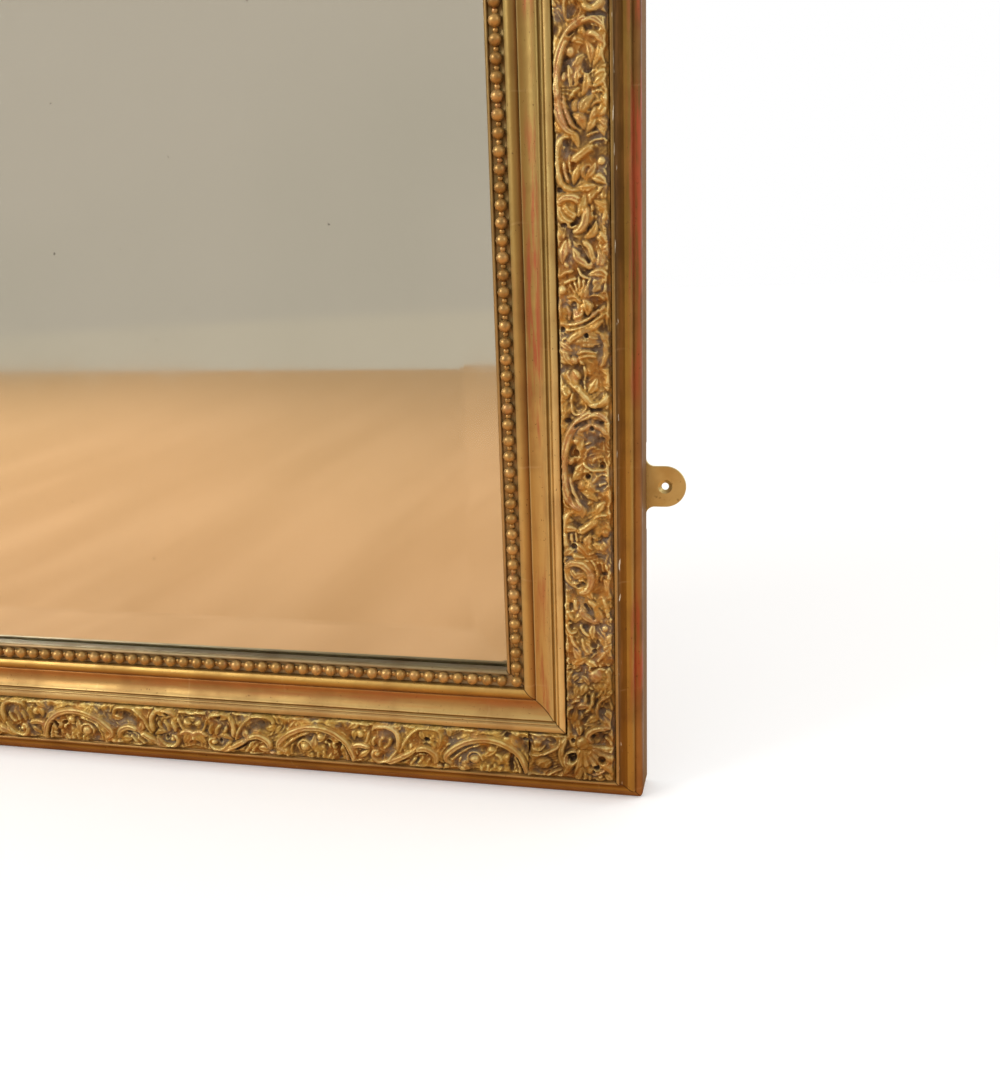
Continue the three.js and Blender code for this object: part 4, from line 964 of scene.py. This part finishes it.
def stile_centre(r):
    """Half of the palmette in the middle of a stile; the other half is its mirror image."""
    middle = HALF_HIGH
    r.swell((middle, 16), (24, 15), 4.6)
    r.fan((middle + 1, 31), -122, 108, 24, 6.0, 5, -0.3)
    r.rolls(
        ([(middle - 22, 4), (middle - 23, 13), (middle - 18, 21), (middle - 10, 22),
          (middle - 8, 16), (middle - 13, 13)], 4.4, 7.0, 0.7, 0.7),
        ([(middle - 24, 30), (middle - 16, 27), (middle - 8, 29), (middle - 1, 32)],
         4.2, 6.6, 0.6, 0.6),
        ([(middle - 20, 1.6), (middle - 12, 2), (middle - 5, 3)], 3, 5, 0.5, 0.2))
    r.mound((middle, 30), (4.4, 4), 7.2, 0.6)


def corner_cartouche(r):
    """The corner piece's flutes, lobes and pierced places, in the stile's coordinates."""
    r.swell((-46, 16), (22, 17), 5.2)
    r.swell((-10, 14), (12, 13), 4.4)
    r.fan((-42, 13), 155, 130, 27, 6.2, 7, -0.2)
    r.rolls(
        ([(-12, 4), (-9, 8), (-10, 12)], 2.4, 4.8, 0.4, 0),
        ([(-16, 9), (-10, 14), (-4, 15)], 3, 5.2, 0.4, -0.2),
        ([(-18, 14), (-11, 19), (-3, 20)], 3.2, 5.2, 0.4, -0.2),
        ([(-6, 22), (-3, 25), (0, 26)], 2, 4.4, 0, 0.2),
        ([(-7, 26), (-3, 28), (1, 29)], 2, 4.4, 0, 0.2),
        ([(-24, 5), (-21, 2), (-16, 2.4), (-14, 5.5), (-17, 7.6)], 3, 5.8, 0.2, 0.6),
        ([(-28, 27), (-24, 24), (-17, 22.6), (-10, 24), (-6, 28), (-4, 33)], 2.8, 5.8, 0, 0.6),
        ([(-40, 19), (-37, 16), (-33, 17), (-30, 21), (-28.5, 26), (-29, 31)], 4.6, 7.4, 0.6, 0.7),
        ([(-62, 4), (-59, -0.5), (-53, -1), (-48.5, 3.5), (-48, 8)], 2.8, 6.2, 0, 0.9),
        ([(-65, 17), (-64.5, 23), (-61, 27.5), (-57, 24)], 2.6, 6.0, 0, 0.9),
        ([(-60, 23), (-56, 30), (-50, 31)], 2.4, 5.6, 0, 0.7),
        ([(-50, 16), (-46, 20), (-44, 26), (-44, 32)], 3.4, 5.4, 0.5, -0.3),
        ([(-36, 28), (-38, 31), (-42, 33)], 2.6, 5, 0.3, 0.2),
        ([(-70, 7), (-66, 10), (-60, 12)], 4.4, 5.6, 0.7, -0.9),
        ([(-71, 13), (-66, 14), (-61, 14)], 3.4, 5.4, 0.6, -0.8))
    r.mound((-62, 17), (3, 2.6), 5.6, 0.1)
    r.mound((-46, 23), (3, 3.4), 5.4)
    r.mound((-41, 12.5), (4.6, 4.4), 7.0, -0.2)
    r.basin((-53, 5), (4.6, 3), 0.4, 20)
    r.basin((-59.5, 22), (2, 2.6), 0.4)
    r.basin((-53, 26), (3.4, 3), 0.9)
    r.basin((-16, 29.5), (7, 3.4), 0.8)
    r.basin((-24.5, 14.5), (4.6, 3), 0.8, 35)
    r.sink([(-35.5, 19.5), (-33, 22), (-32, 25)], 1.8, 1.4)


def corner_rail_leg(r):
    """The corner piece's leg on the rail: stippled ovals, frills and a bounding roll."""
    r.swell((-30, 14), (14, 13), 4.0)
    r.rolls(
        ([(-50, 19), (-46, 24), (-44, 31)], 3.4, 5.4, 0.6, -0.9),
        ([(-54, 30), (-48, 32), (-42, 34)], 2.8, 4.8, 0.4, -0.6),
        ([(-40, 12), (-37, 16), (-37, 20), (-40, 24)], 2.6, 6.2, 0, 0.9),
        ([(-36, 3), (-33, 10), (-33, 18), (-36, 25)], 4.6, 5.6, 0.6, -0.8),
        ([(-33, 27), (-28, 29), (-22, 33)], 2.4, 5.2, 0, 0.8),
        ([(-40, 32), (-34, 31), (-29, 34)], 2.4, 4.8, 0, 0.5),
        ([(-32, 4), (-31, 9), (-27, 11.5), (-23, 14), (-18, 16), (-11, 17)], 3, 6.0, 0.2, 0.5),
        ([(-21, 9), (-17, 12.6), (-12, 12)], 2, 5.2, 0, -0.9))
    r.mound((-19, 23), (6, 4.8), 4.4, -0.2)
    r.mound((-15, 7.5), (3.6, 2.6), 4.4, -0.2)
    stipple = lambda along, across: np.cos(along * 4.6) * np.cos(across * 4.6)
    r.texture((-19, 23), (5, 4), stipple, 0.35)
    r.texture((-15, 7.5), (3, 2.2), stipple, 0.35)
    r.basin((-40.5, 17), (2.2, 4.6), 0.4)
    r.basin((-25, 5), (4.6, 3), 0.9)
    r.basin((-8, 5), (4, 3.4), 1.0)


def rail_arch(r):
    """The rail's C arch over grooved leaves, with a ribbed ground under it."""
    ribs = lambda along, across: np.cos(along * 4.2) * np.clip((7 - across) / 4, 0, 1)
    r.texture((28, 3), (24, 7), ribs, 0.3)
    r.swell((26, 24), (20, 12), 3.8)
    r.rolls(
        ([(-1.8, 34), (-1.4, 28), (0.2, 22)], 2.4, 5.6, 0, 0.8),
        ([(11, 24), (13, 20), (16, 19)], 3, 4.8, 0.5, 0.2),
        ([(14, 11), (17, 17), (21, 19)], 2.2, 5.2, 0, 0.3),
        ([(26, 25), (28, 20), (33, 18.4), (37, 21.5), (37, 27)], 2.2, 5.2, 0, 0.6),
        ([(12, 29), (14, 33)], 2.6, 4.2, 0.4, -0.3), ([(17, 27), (18, 33)], 2.6, 4.2, 0.4, 0),
        ([(22, 28), (22.5, 33)], 2.6, 4.2, 0.4, 0.2), ([(27.5, 29), (27, 34)], 2.4, 4.2, 0.4, 0),
        ([(42, 22), (44, 27), (44, 32)], 2.6, 4.4, 0.4, -0.3),
        ([(47, 27), (48, 30), (47, 34)], 2.6, 4.4, 0.4, 0),
        ([(27, 11.5), (36, 15), (44, 20.5), (50, 26)], 3, 6.0, 0, 0.5),
        ([(-8, 36), (-6, 28), (-2, 19), (5, 12.4), (13, 8.8), (22, 7.4), (32, 8.6), (42, 12.6),
          (49, 17.6), (53.6, 22.6), (53.4, 26.4), (50, 28.6)], 5, 7.8, 0.9, 0.6))
    r.mound((6.5, 21), (3.4, 3.2), 5.6, 0.3)
    r.mound((19, 15), (3.4, 2.4), 5.4, 0.3, 20)
    r.mound((32, 23.5), (3.5, 3.3), 6.2, 0.4)
    r.sink([(3, 18), (5, 24), (4.4, 31)], 3, 0.5)
    r.sink([(-4, 34), (-3.4, 28), (0, 20)], 1.6, 0.7)


def rail_s_scroll(r):
    """The lattice under its arch, the S stem and the volute at the end of the rail's repeat."""
    lattice = lambda along, across: np.maximum(np.cos((along + across) * 1.5),
                                               np.cos((along - across) * 1.5))
    r.swell((74, 27), (14, 9), 4.2)
    r.swell((105, 16), (15, 14), 4.6)
    r.basin((69.5, 10), (8, 7.5), 2.0)
    r.texture((69.5, 10), (8, 7.5), lattice, 0.6)
    r.rolls(
        ([(66, 34), (72, 34), (78, 33)], 2.6, 4.8, 0, 0.5),
        ([(66, 26), (69, 30)], 3, 4.8, 0.4, 0.2), ([(71, 25), (76, 31)], 3, 4.8, 0.4, -0.4),
        ([(77, 26), (82, 32)], 3, 4.8, 0.4, 0.1),
        ([(60, 17), (57.4, 12), (57.4, 6), (61, 2.4), (68, 1.8), (75, 3.2), (81, 8), (86, 15),
          (89, 22)], 3.2, 6.4, 0.2, 0.3),
        ([(62, 30), (61, 24), (64, 20), (70, 18), (76, 19.4), (82, 23), (90, 27.4), (98, 31),
          (104, 33)], 5, 7.4, 0.7, 0.6),
        ([(91, 20), (90, 12), (92, 6), (97, 3), (103, 2.4), (108, 3.4), (110, 6)], 4, 6.8, 0.5, 0.5),
        ([(92, 22), (96, 27), (100, 30.6), (105, 32), (109, 30.6), (111, 27), (110, 23.6),
          (107, 22.6)], 3.6, 6.6, 0.4, 0.4),
        ([(101, 11), (104, 14), (105, 19)], 3.2, 5.4, 0.5, -0.4),
        ([(96, 12), (98, 17), (102, 20)], 3.2, 5.4, 0.5, 0.2),
        ([(108, 11), (110, 15), (110, 19)], 3, 5.4, 0.5, -0.4),
        ([(113, 8), (115, 14), (118, 19), (124, 19)], 2.2, 4.8, 0, 0.2),
        ([(114, 21), (121, 19.6), (130, 22)], 4.4, 5.6, 0.6, 0.9),
        ([(113, 3), (119, 2.4), (127, 4)], 3, 5, 0.4, -0.2))
    r.mound((54, 31.4), (2.2, 2), 5, 0.2)
    r.mound((60, 32), (2.6, 2.2), 5.2, 0.9)
    r.mound((80.5, 17), (3, 2), 5.4, 0.2, 60)
    r.mound((107.5, 25.4), (2.2, 2), 6.4, -0.6)
    r.mound((121, 10.4), (3.2, 3), 5.6, 0.3)
    r.sink([(69, 22.4), (73, 21.4), (77, 22.4), (83, 27), (90, 31)], 1.8, 0.8)
    r.sink([(122, 26.4), (126, 28.4)], 4, 0.5)
    r.basin((116.5, 29.5), (3.6, 3), 1.0)


def finished(relief, edge):
    """The relief's height once softened and run out at its edge, and what its finish needs."""
    fall = np.clip((edge - np.abs(relief.lumps(2.5, 0.3))) / 0.7, 0, 1)
    veins = 1 - np.abs(np.sin(relief.lumps(6, 8)))
    veins = veins * np.clip(0.6 + relief.lumps(5, 0.5), 0, 1)
    fine = 0.9 * veins + relief.crests(1.3, 0.6) + relief.lumps(2, 0.5) - 0.55
    height = relief.height + fine * (1 - 0.75 * relief.calm)
    height = np.maximum(blurred(height, 0.3 / relief.step), 0.3)
    height = np.where(height > 6, 6 + 2.2 * np.tanh((height - 6) / 2.2), height)
    height *= 0.12 + 0.88 * fall * fall * (3 - 2 * fall)
    # hollow: where the finish paints dust and painted shade, in the hollows and the low places.
    hollow = fall * (0.3 * (blurred(height, 3 / relief.step) - height) + 0.16 * (3.4 - height))
    # crest: where the finish paints its highlight on the crests.
    crest = (height - blurred(height, 0.9 / relief.step)) * np.clip(edge / 1.2, 0, 1)
    return height, {"hollow": np.clip(hollow, -1, 1), "crest": np.clip(crest * 2, -1, 1),
                    "rub": blurred(relief.rub, 0.8 / relief.step)}


def solid_relief(name, face, back, cells, values, mirrored, material):
    """A closed piece from a grid of places: the relief's face, its walls and a flat back."""
    cols = cells.shape[1] + 1
    i, j = np.nonzero(cells)
    quads = np.stack([i * cols + j, (i + 1) * cols + j, (i + 1) * cols + j + 1, i * cols + j + 1], -1)
    if mirrored:
        quads = quads[:, ::-1]
    used, quads = np.unique(quads, return_inverse=True)
    quads = quads.reshape(-1, 4)
    edges = np.concatenate([quads[:, [k, (k + 1) % 4]] for k in range(4)])
    count = len(used)
    inner = np.isin(edges[:, 0] * count + edges[:, 1], edges[:, 1] * count + edges[:, 0])
    rim = edges[~inner].tolist()
    below = {a: count + n for n, (a, _) in enumerate(rim)}
    before = {b: a for a, b in rim}
    loop = [rim[0][0]]
    while len(loop) < len(rim):
        loop.append(before[loop[-1]])
    faces = quads.tolist() + [[b, a, below[a], below[b]] for a, b in rim]
    faces.append([below[v] for v in loop])
    starts = used[[a for a, _ in rim]]
    points = np.concatenate([face[used], back[starts]])
    carried = {label: np.concatenate([numbers.ravel()[used], numbers.ravel()[starts]])
               for label, numbers in values.items()}
    return new_piece(name, points, faces, material, carried)


def dress_friezes():
    """Both stiles share one relief and both rails another, each with its mirror image."""
    outer = GROUND_WIDTH - ORNAMENT_MARGIN
    stile = Relief((STILE_START, ORNAMENT_MARGIN), (HALF_HIGH, outer), step=0.65, seed=1)
    between_corner_and_stile(stile)
    stile_filler(stile)
    for repeat in range(2):
        stile.shift = repeat * STILE_UNIT
        for forms in (stile_volute, stile_c_scroll, stile_s_scroll, stile_shell):
            forms(stile)
    stile.shift = 0.0
    stile_centre(stile)
    leaflets(stile, (18, 2), (560, 31), count=280, size=5.4)
    rail = Relief((RAIL_START, ORNAMENT_MARGIN), (HALF_WIDE, outer), step=0.6, seed=2)
    for repeat in range(2):
        rail.shift = repeat * (HALF_WIDE - RAIL_START) / 2
        rail_arch(rail)
        rail_s_scroll(rail)
    rail.shift = 0.0
    leaflets(rail, (-8, 2), (258, 31), count=70, size=5.0)
    for name, side in SIDES.items():
        half = stile if side["stile"] else rail
        edge = np.minimum(half.b - ORNAMENT_MARGIN, RUN_OUT * (outer - half.b))
        height, wear = finished(half, edge)
        whole = lambda grid: np.concatenate([grid, grid[-2::-1]])
        along = half.axes[0] - half.axes[0][-1]
        along = np.concatenate([along, -along[-2::-1]])[:, None]
        out = GROUND_IN + half.axes[1]
        face = place(side, along, ORNAMENT_BACK + whole(height), out)
        back = place(side, along, ORNAMENT_BACK, out)
        cells = np.ones((len(along) - 1, len(out) - 1), bool)
        piece = solid_relief(f"gilt_frieze_{name}", face, back, cells,
                             {label: whole(grid) for label, grid in wear.items()}, True,
                             ORNAMENT[side["stile"]])
        settle(piece, "ornament_gilding", f"frieze_ornament_{name}")


def dress_corners():
    """The four corner pieces share one relief, laid out from the lower right corner."""
    inner, outer = GROUND_IN + ORNAMENT_MARGIN, GROUND_OUT - ORNAMENT_MARGIN
    r = Relief((GROUND_IN - RAIL_LEG + 0.05, -outer), (outer, STILE_LEG - GROUND_IN - 0.05),
               step=0.5, seed=3)
    on_stile = lambda points: np.stack([GROUND_IN + points[:, 1], points[:, 0]], -1)
    on_rail = lambda points: np.stack([-points[:, 0], -GROUND_IN - points[:, 1]], -1)
    r.place_on = on_rail
    corner_rail_leg(r)
    rail_arch(r)
    r.place_on = on_stile
    corner_cartouche(r)
    between_corner_and_stile(r)
    leaflets(r, (-69, 2), (17, 31), count=60, size=5.0)
    edge = np.minimum(RUN_OUT * np.minimum(outer - r.a, r.b + outer),
                      np.maximum(r.a - inner, -inner - r.b))
    height, wear = finished(r, edge)
    slack = 0.26               # a little over half a cell of the grid
    inside = (r.a >= inner - slack) | (r.b <= -inner + slack)
    cells = inside[:-1, :-1] & inside[1:, :-1] & inside[:-1, 1:] & inside[1:, 1:]
    for upward, across in (("bottom", "right"), ("top", "right"), ("top", "left"), ("bottom", "left")):
        x = (1 if across == "right" else -1) * (HALF_WIDE + r.a)
        z = MIDDLE + (1 if upward == "bottom" else -1) * (r.b - HALF_HIGH)
        lay = lambda rise: np.stack([x, -(ORNAMENT_BACK + rise), z], -1).reshape(-1, 3) * MM
        piece = solid_relief(f"gilt_corner_{upward}_{across}", lay(height), lay(0 * height), cells,
                             wear, (upward == "bottom") != (across == "right"), CORNER)
        settle(piece, "ornament_gilding", f"corner_ornament_{upward}_{across}")


# ---- Brass plates, their screws and the board nails ----

PLATE_THICKNESS = 2.0
EAR_RADIUS = 14.5
EAR_REACH = 27.5
SHOULDER_RADIUS = 6.0
TANG_LENGTH = 62.0
TANG_WIDTH = 18.0
SIDE_GAP = 0.3
HOLE_RADIUS = 2.5
SINK_RADIUS = 5.0
SINK_SLOPE = 0.7
SCREW_HOLE_RADIUS = 2.2
SCREW_SINK_RADIUS = 4.0
SCREW_X = -9.5
SCREW_Z = 20.0
HEAD_RADIUS = 3.7
SHANK_RADIUS = 1.9
SCREW_LENGTH = 16.0
SLOT_DEPTH = 0.9
SLOT_WIDTH = 0.9
NAIL_RADIUS = 1.7
NAIL_HALF_THICK = 0.45
NAIL_RISE = 0.9
NAIL_EDGE = 4.5                # from the boards' outer edge to the nails
NAIL_SPAN = 200.0              # from the middle to the end nails of the top and bottom rows


def ring(centre, radius, start, end, steps):
    """Points of an arc between two angles in degrees."""
    angles = np.radians(np.linspace(start, end, steps + 1))
    return [(centre[0] + radius * math.cos(a), centre[1] + radius * math.sin(a)) for a in angles]


def plate_outline(inset):
    """A mirror plate's outline: the tang, soft shoulders and the round ear."""
    ear = ring((EAR_REACH - EAR_RADIUS, 0), EAR_RADIUS - inset, -90, 90, 32)
    turn = EAR_RADIUS + SHOULDER_RADIUS
    bottom = [(-TANG_WIDTH + inset, -TANG_LENGTH / 2 + inset), (-SIDE_GAP - inset, -TANG_LENGTH / 2 + inset),
              *ring((SHOULDER_RADIUS - SIDE_GAP, -turn), SHOULDER_RADIUS + inset, 180, 90, 8)]
    return bottom + ear + [(x, -z) for x, z in reversed(bottom)]


def stacked(loops):
    """Points and faces of a wall through loops of one count, each [outline, y]."""
    points = [(x, y, z) for outline, y in loops for x, z in outline]
    count = len(loops[0][0])
    faces = [[n * count + k, n * count + (k + 1) % count, (n + 1) * count + (k + 1) % count,
              (n + 1) * count + k] for n in range(len(loops) - 1) for k in range(count)]
    return points, faces


def plate_shape():
    """Points and faces of a plate, x outward from the frame's side and z from its middle."""
    full = PLATE_THICKNESS
    walls = [stacked([(plate_outline(0.15), 0), (plate_outline(0), -0.15), (plate_outline(0), 0.25 - full),
                      (plate_outline(0.25), -full)])]
    hole_x = EAR_REACH - EAR_RADIUS
    circle = lambda x, z, radius: ring((x, z), radius, 0, 360, 40)[:-1]
    sink = (SINK_RADIUS - HOLE_RADIUS) * SINK_SLOPE
    walls.append(stacked([(circle(hole_x, 0, HOLE_RADIUS), 0), (circle(hole_x, 0, HOLE_RADIUS), sink - full),
                          (circle(hole_x, 0, SINK_RADIUS), -full)]))
    sink = (SCREW_SINK_RADIUS - SCREW_HOLE_RADIUS) * SINK_SLOPE
    for z in (-SCREW_Z, SCREW_Z):
        walls.append(stacked([(circle(SCREW_X, z, SCREW_SINK_RADIUS), 0),
                              (circle(SCREW_X, z, SCREW_HOLE_RADIUS), -sink),
                              (circle(SCREW_X, z, SCREW_HOLE_RADIUS), -full)]))
    points, faces, backs, fronts = [], [], [], []
    for wall_points, wall_faces in walls:
        start = len(points)
        points += wall_points
        faces += [[start + v for v in face] for face in wall_faces]
        count = wall_faces[0][3]
        backs.append(list(range(start, start + count)))
        fronts.append(list(range(len(points) - count, len(points))))
    for loops in (backs, fronts):
        flat = [v for loop in loops for v in loop]
        for triangle in tessellate_polygon([[Vector(points[v]) for v in loop] for loop in loops]):
            faces.append([flat[k] for k in triangle])
    return np.array(points), faces


def screw_shape():
    """Points and faces of a slotted countersunk screw along -y, its head in the plane y = 0."""
    half = SLOT_WIDTH / 2
    low = HEAD_RADIUS - SLOT_DEPTH / SINK_SLOPE
    levels = [(HEAD_RADIUS, 0), (low, -SLOT_DEPTH), (SHANK_RADIUS, (SHANK_RADIUS - HEAD_RADIUS) * SINK_SLOPE),
              (SHANK_RADIUS, 3 - SCREW_LENGTH), (0.2, -SCREW_LENGTH)]
    points, count = [], 32
    for radius, y in levels:
        lip = math.asin(min(0.9, half / radius))
        angles = [*np.linspace(lip, math.pi - lip, count // 2),
                  *np.linspace(math.pi + lip, 2 * math.pi - lip, count // 2)]
        points += [(radius * math.cos(a), y, radius * math.sin(a)) for a in angles]
    faces = []
    for n in range(len(levels) - 1):
        for k in range(count):
            if n == 0 and k in (count // 2 - 1, count - 1):
                continue
            a, b = n * count + k, n * count + (k + 1) % count
            faces.append([a, b, b + count, a + count])
    faces += [list(range(count // 2)), list(range(count // 2, count))]
    for start in (0, count // 2):
        first, last = start, start + count // 2 - 1
        faces.append([first, last, last + count, first + count])
    faces.append([count + v for v in (0, count // 2 - 1, count // 2, count - 1)])
    faces.append(list(range((len(levels) - 1) * count, len(levels) * count)))
    return np.array(points), faces


def outward(piece):
    """Turns all faces outward and keeps the edges between flats crisp."""
    shape = bmesh.new()
    shape.from_mesh(piece.data)
    bmesh.ops.recalc_face_normals(shape, faces=shape.faces)
    shape.to_mesh(piece.data)
    shape.free()
    piece.data.set_sharp_from_angle(angle=math.radians(28))
    return piece


def dress_plates():
    plate, plate_faces = plate_shape()
    screw, screw_faces = screw_shape()
    for level in ("lower", "upper"):
        for hand, way in (("right", 1), ("left", -1)):
            name = f"{level}_{hand}"
            low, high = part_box(f"mirror_plate_{name}")
            middle = (low.z + high.z) / 2 / MM
            across = HALF_WIDE + SIDE_OUT
            place_on = lambda points: (points + [across, 0, middle]) * [way * MM, MM, MM]
            piece = outward(new_piece(f"brass_plate_{name}", place_on(plate), plate_faces, BRASS))
            settle(piece, "brass", f"mirror_plate_{name}")
            for letter, end in (("a", -1), ("b", 1)):
                node = f"plate_screw_{name}_{letter}"
                low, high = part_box(node)
                turn = Matrix.Rotation(math.radians(25 + 70 * (len(node) % 3) + 40 * end), 3, "Y")
                spot = np.array([way * (across + SCREW_X), 0, (low.z + high.z) / 2 / MM])
                turned = screw @ np.array(turn).T
                piece = outward(new_piece(f"slotted_{node}", (turned + spot) * MM, screw_faces, STEEL))
                settle(piece, "screw_steel", node)


def drive_nails():
    """Two nails at each end of a backboard, and a few along the top and bottom boards."""
    rows = []
    size = [NAIL_RADIUS * MM, NAIL_HALF_THICK * MM, NAIL_RADIUS * MM]
    high = HALF_HIGH + BOARD_OUT - NAIL_EDGE
    wide = HALF_WIDE + BOARD_OUT - NAIL_EDGE
    reach = 0.9 * (HALF_HIGH + BOARD_OUT)
    for number, (start, end, count) in enumerate((
            ((-wide, -reach), (-wide, reach), 10), ((wide, -reach), (wide, reach), 10),
            ((-NAIL_SPAN, -high), (NAIL_SPAN, -high), 4), ((-NAIL_SPAN, high), (NAIL_SPAN, high), 4))):
        first, last = [(x * MM, -NAIL_RISE * MM, (z + MIDDLE) * MM) for x, z in (start, end)]
        rows.append(lay_row("nails", first, last, count, size, 0.08, 20 + number, STEEL))
    nails = join("board_nails", rows)
    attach(nails, "root")


def dress_nodes():
    """Finishes for the pieces whose shape comes straight from the model."""
    level = (2.6, 40, 40)
    upright = old_pine("pine_upright", (40, 40, 2.6), "b58a59", "8d6540", 0.0)
    rails = old_pine("pine_level", level, "b48856", "8a623e", 0.6)
    boards = [old_pine(f"pine_board_{number}", level, early, late, 1.7 * number)
              for number, (early, late) in enumerate((("ad8050", "84593a"), ("bb9161", "936a44"),
                                                      ("a67c52", "7c563a")), 1)]
    glass, silver = plate_glass(), old_silvering()
    for name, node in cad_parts.items():
        if name in ("carcass_left", "carcass_right"):
            finish = upright
        elif name.startswith("backboard"):
            finish = boards[int(name[-1]) % len(boards)]
        elif name.startswith(("carcass", "glazing_block")):
            finish = rails
        elif name == "mirror_glass":
            finish = glass
        elif name == "silvering":
            finish = silver
        else:
            continue
        node.material_slots[0].material = finish


# ---- Floor, light and camera ----

def stage_floor():
    """A white floor, which the glass and the gold see in a warm colour."""
    f = Finish("floor_paint", {"Roughness": 0.85, "Specular IOR Level": 0.1})
    back = f.part(f.place(), "Y")
    grain = f.noise(1.0, 3, 0.5, f.node("ShaderNodeMapping", {
        "Vector": f.place(), "Rotation": (0, 0, 0.9), "Scale": (9, 1, 1)}))
    warm = f.mix(f.step(grain, 0.35, 0.65, 0, 0.7), "e0ad7e", "d09e6e")
    warm = f.mix(f.step(back, -0.5, -2.4, 0, 0.9), warm, "a5835f")
    seen = f.node("ShaderNodeLightPath", output="Is Camera Ray")
    pale = f.math("MAXIMUM", seen, f.step(back, -0.02, 0.04))
    f.done({"Base Color": f.mix(pale, warm, "f4f3f1"), "Emission Color": paint("ffffff"),
            "Emission Strength": f.math("MULTIPLY", seen, 0.2)})
    half, front, rear, level = 4, -2.46, 6, -0.0405
    corners = [(-half, front), (half, front), (half, rear), (-half, rear)]
    floor = new_piece("floor", [(x, y, level) for x, y in corners], [[0, 1, 2, 3]], f.material)


def stage_room():
    """White, but a plain warm grey in front of the mirror, where only the glass and the gold see it."""
    world = bpy.data.worlds.new("room")
    bpy.context.scene.world = world
    world.use_nodes = True
    room = Nodes(world.node_tree)
    heading = room.node("ShaderNodeTexCoord", output="Generated")
    height = room.part(heading, "Z")
    band = room.math("MULTIPLY", room.step(height, -0.135, -0.12), room.step(height, -0.07, -0.08))
    grey = room.mix(band, "c2b5a9", "cbbcac")
    seen = room.node("ShaderNodeLightPath", output="Is Camera Ray")
    white = room.math("MAXIMUM", seen, room.step(room.part(heading, "Y"), -0.25, -0.05))
    colour = room.mix(white, grey, "ffffff")
    diffuse = room.node("ShaderNodeLightPath", output="Is Diffuse Ray")
    background = room.tree.nodes["Background"]
    room.feed(background.inputs["Color"], room.mix(diffuse, colour, [0.9, 0.9, 0.9, 1.0]))


def lamp(name, place_at, aim, size, power, warmth=(1, 1, 1)):
    data = bpy.data.lights.new(name, "AREA")
    data.shape = "DISK"
    data.size = size
    data.energy = power
    data.color = warmth
    light = bpy.data.objects.new(name, data)
    light.location = place_at
    light.rotation_euler = (Vector(aim) - Vector(place_at)).to_track_quat("-Z", "Y").to_euler()
    bpy.context.scene.collection.objects.link(light)


def place_camera():
    """The camera, looking at the lower right corner of the mirror."""
    spot = (0.4323, -0.7827, 0.37012)
    yaw, pitch, roll = (math.radians(v) for v in (-13.75, -15.42, -2.10))
    ahead = Vector((math.sin(yaw) * math.cos(pitch), math.cos(yaw) * math.cos(pitch), math.sin(pitch)))
    right = Vector((math.cos(yaw), -math.sin(yaw), 0))
    up = right.cross(ahead)
    right, up = (right * math.cos(roll) + up * math.sin(roll), up * math.cos(roll) - right * math.sin(roll))
    data = bpy.data.cameras.new("camera")
    data.sensor_width = 36
    data.lens = 38.4
    camera = bpy.data.objects.new("camera", data)
    turn = Matrix((right, up, -ahead)).transposed().to_4x4()
    camera.matrix_world = Matrix.Translation(spot) @ turn
    bpy.context.scene.collection.objects.link(camera)
    bpy.context.scene.camera = camera


place_camera()
stage_floor()
stage_room()
lamp("window", (-2.0, -1.8, 1.75), (0.2, 0, 0.2), 1.5, 46, (1, 0.98, 0.95))
lamp("fill", (2.6, -1.2, 1.6), (0.2, 0, 0.3), 1.4, 8)
dress_mouldings()
dress_pearls()
dress_friezes()
dress_corners()
dress_plates()
drive_nails()
dress_nodes()

bpy.context.scene.view_settings.view_transform = "Standard"
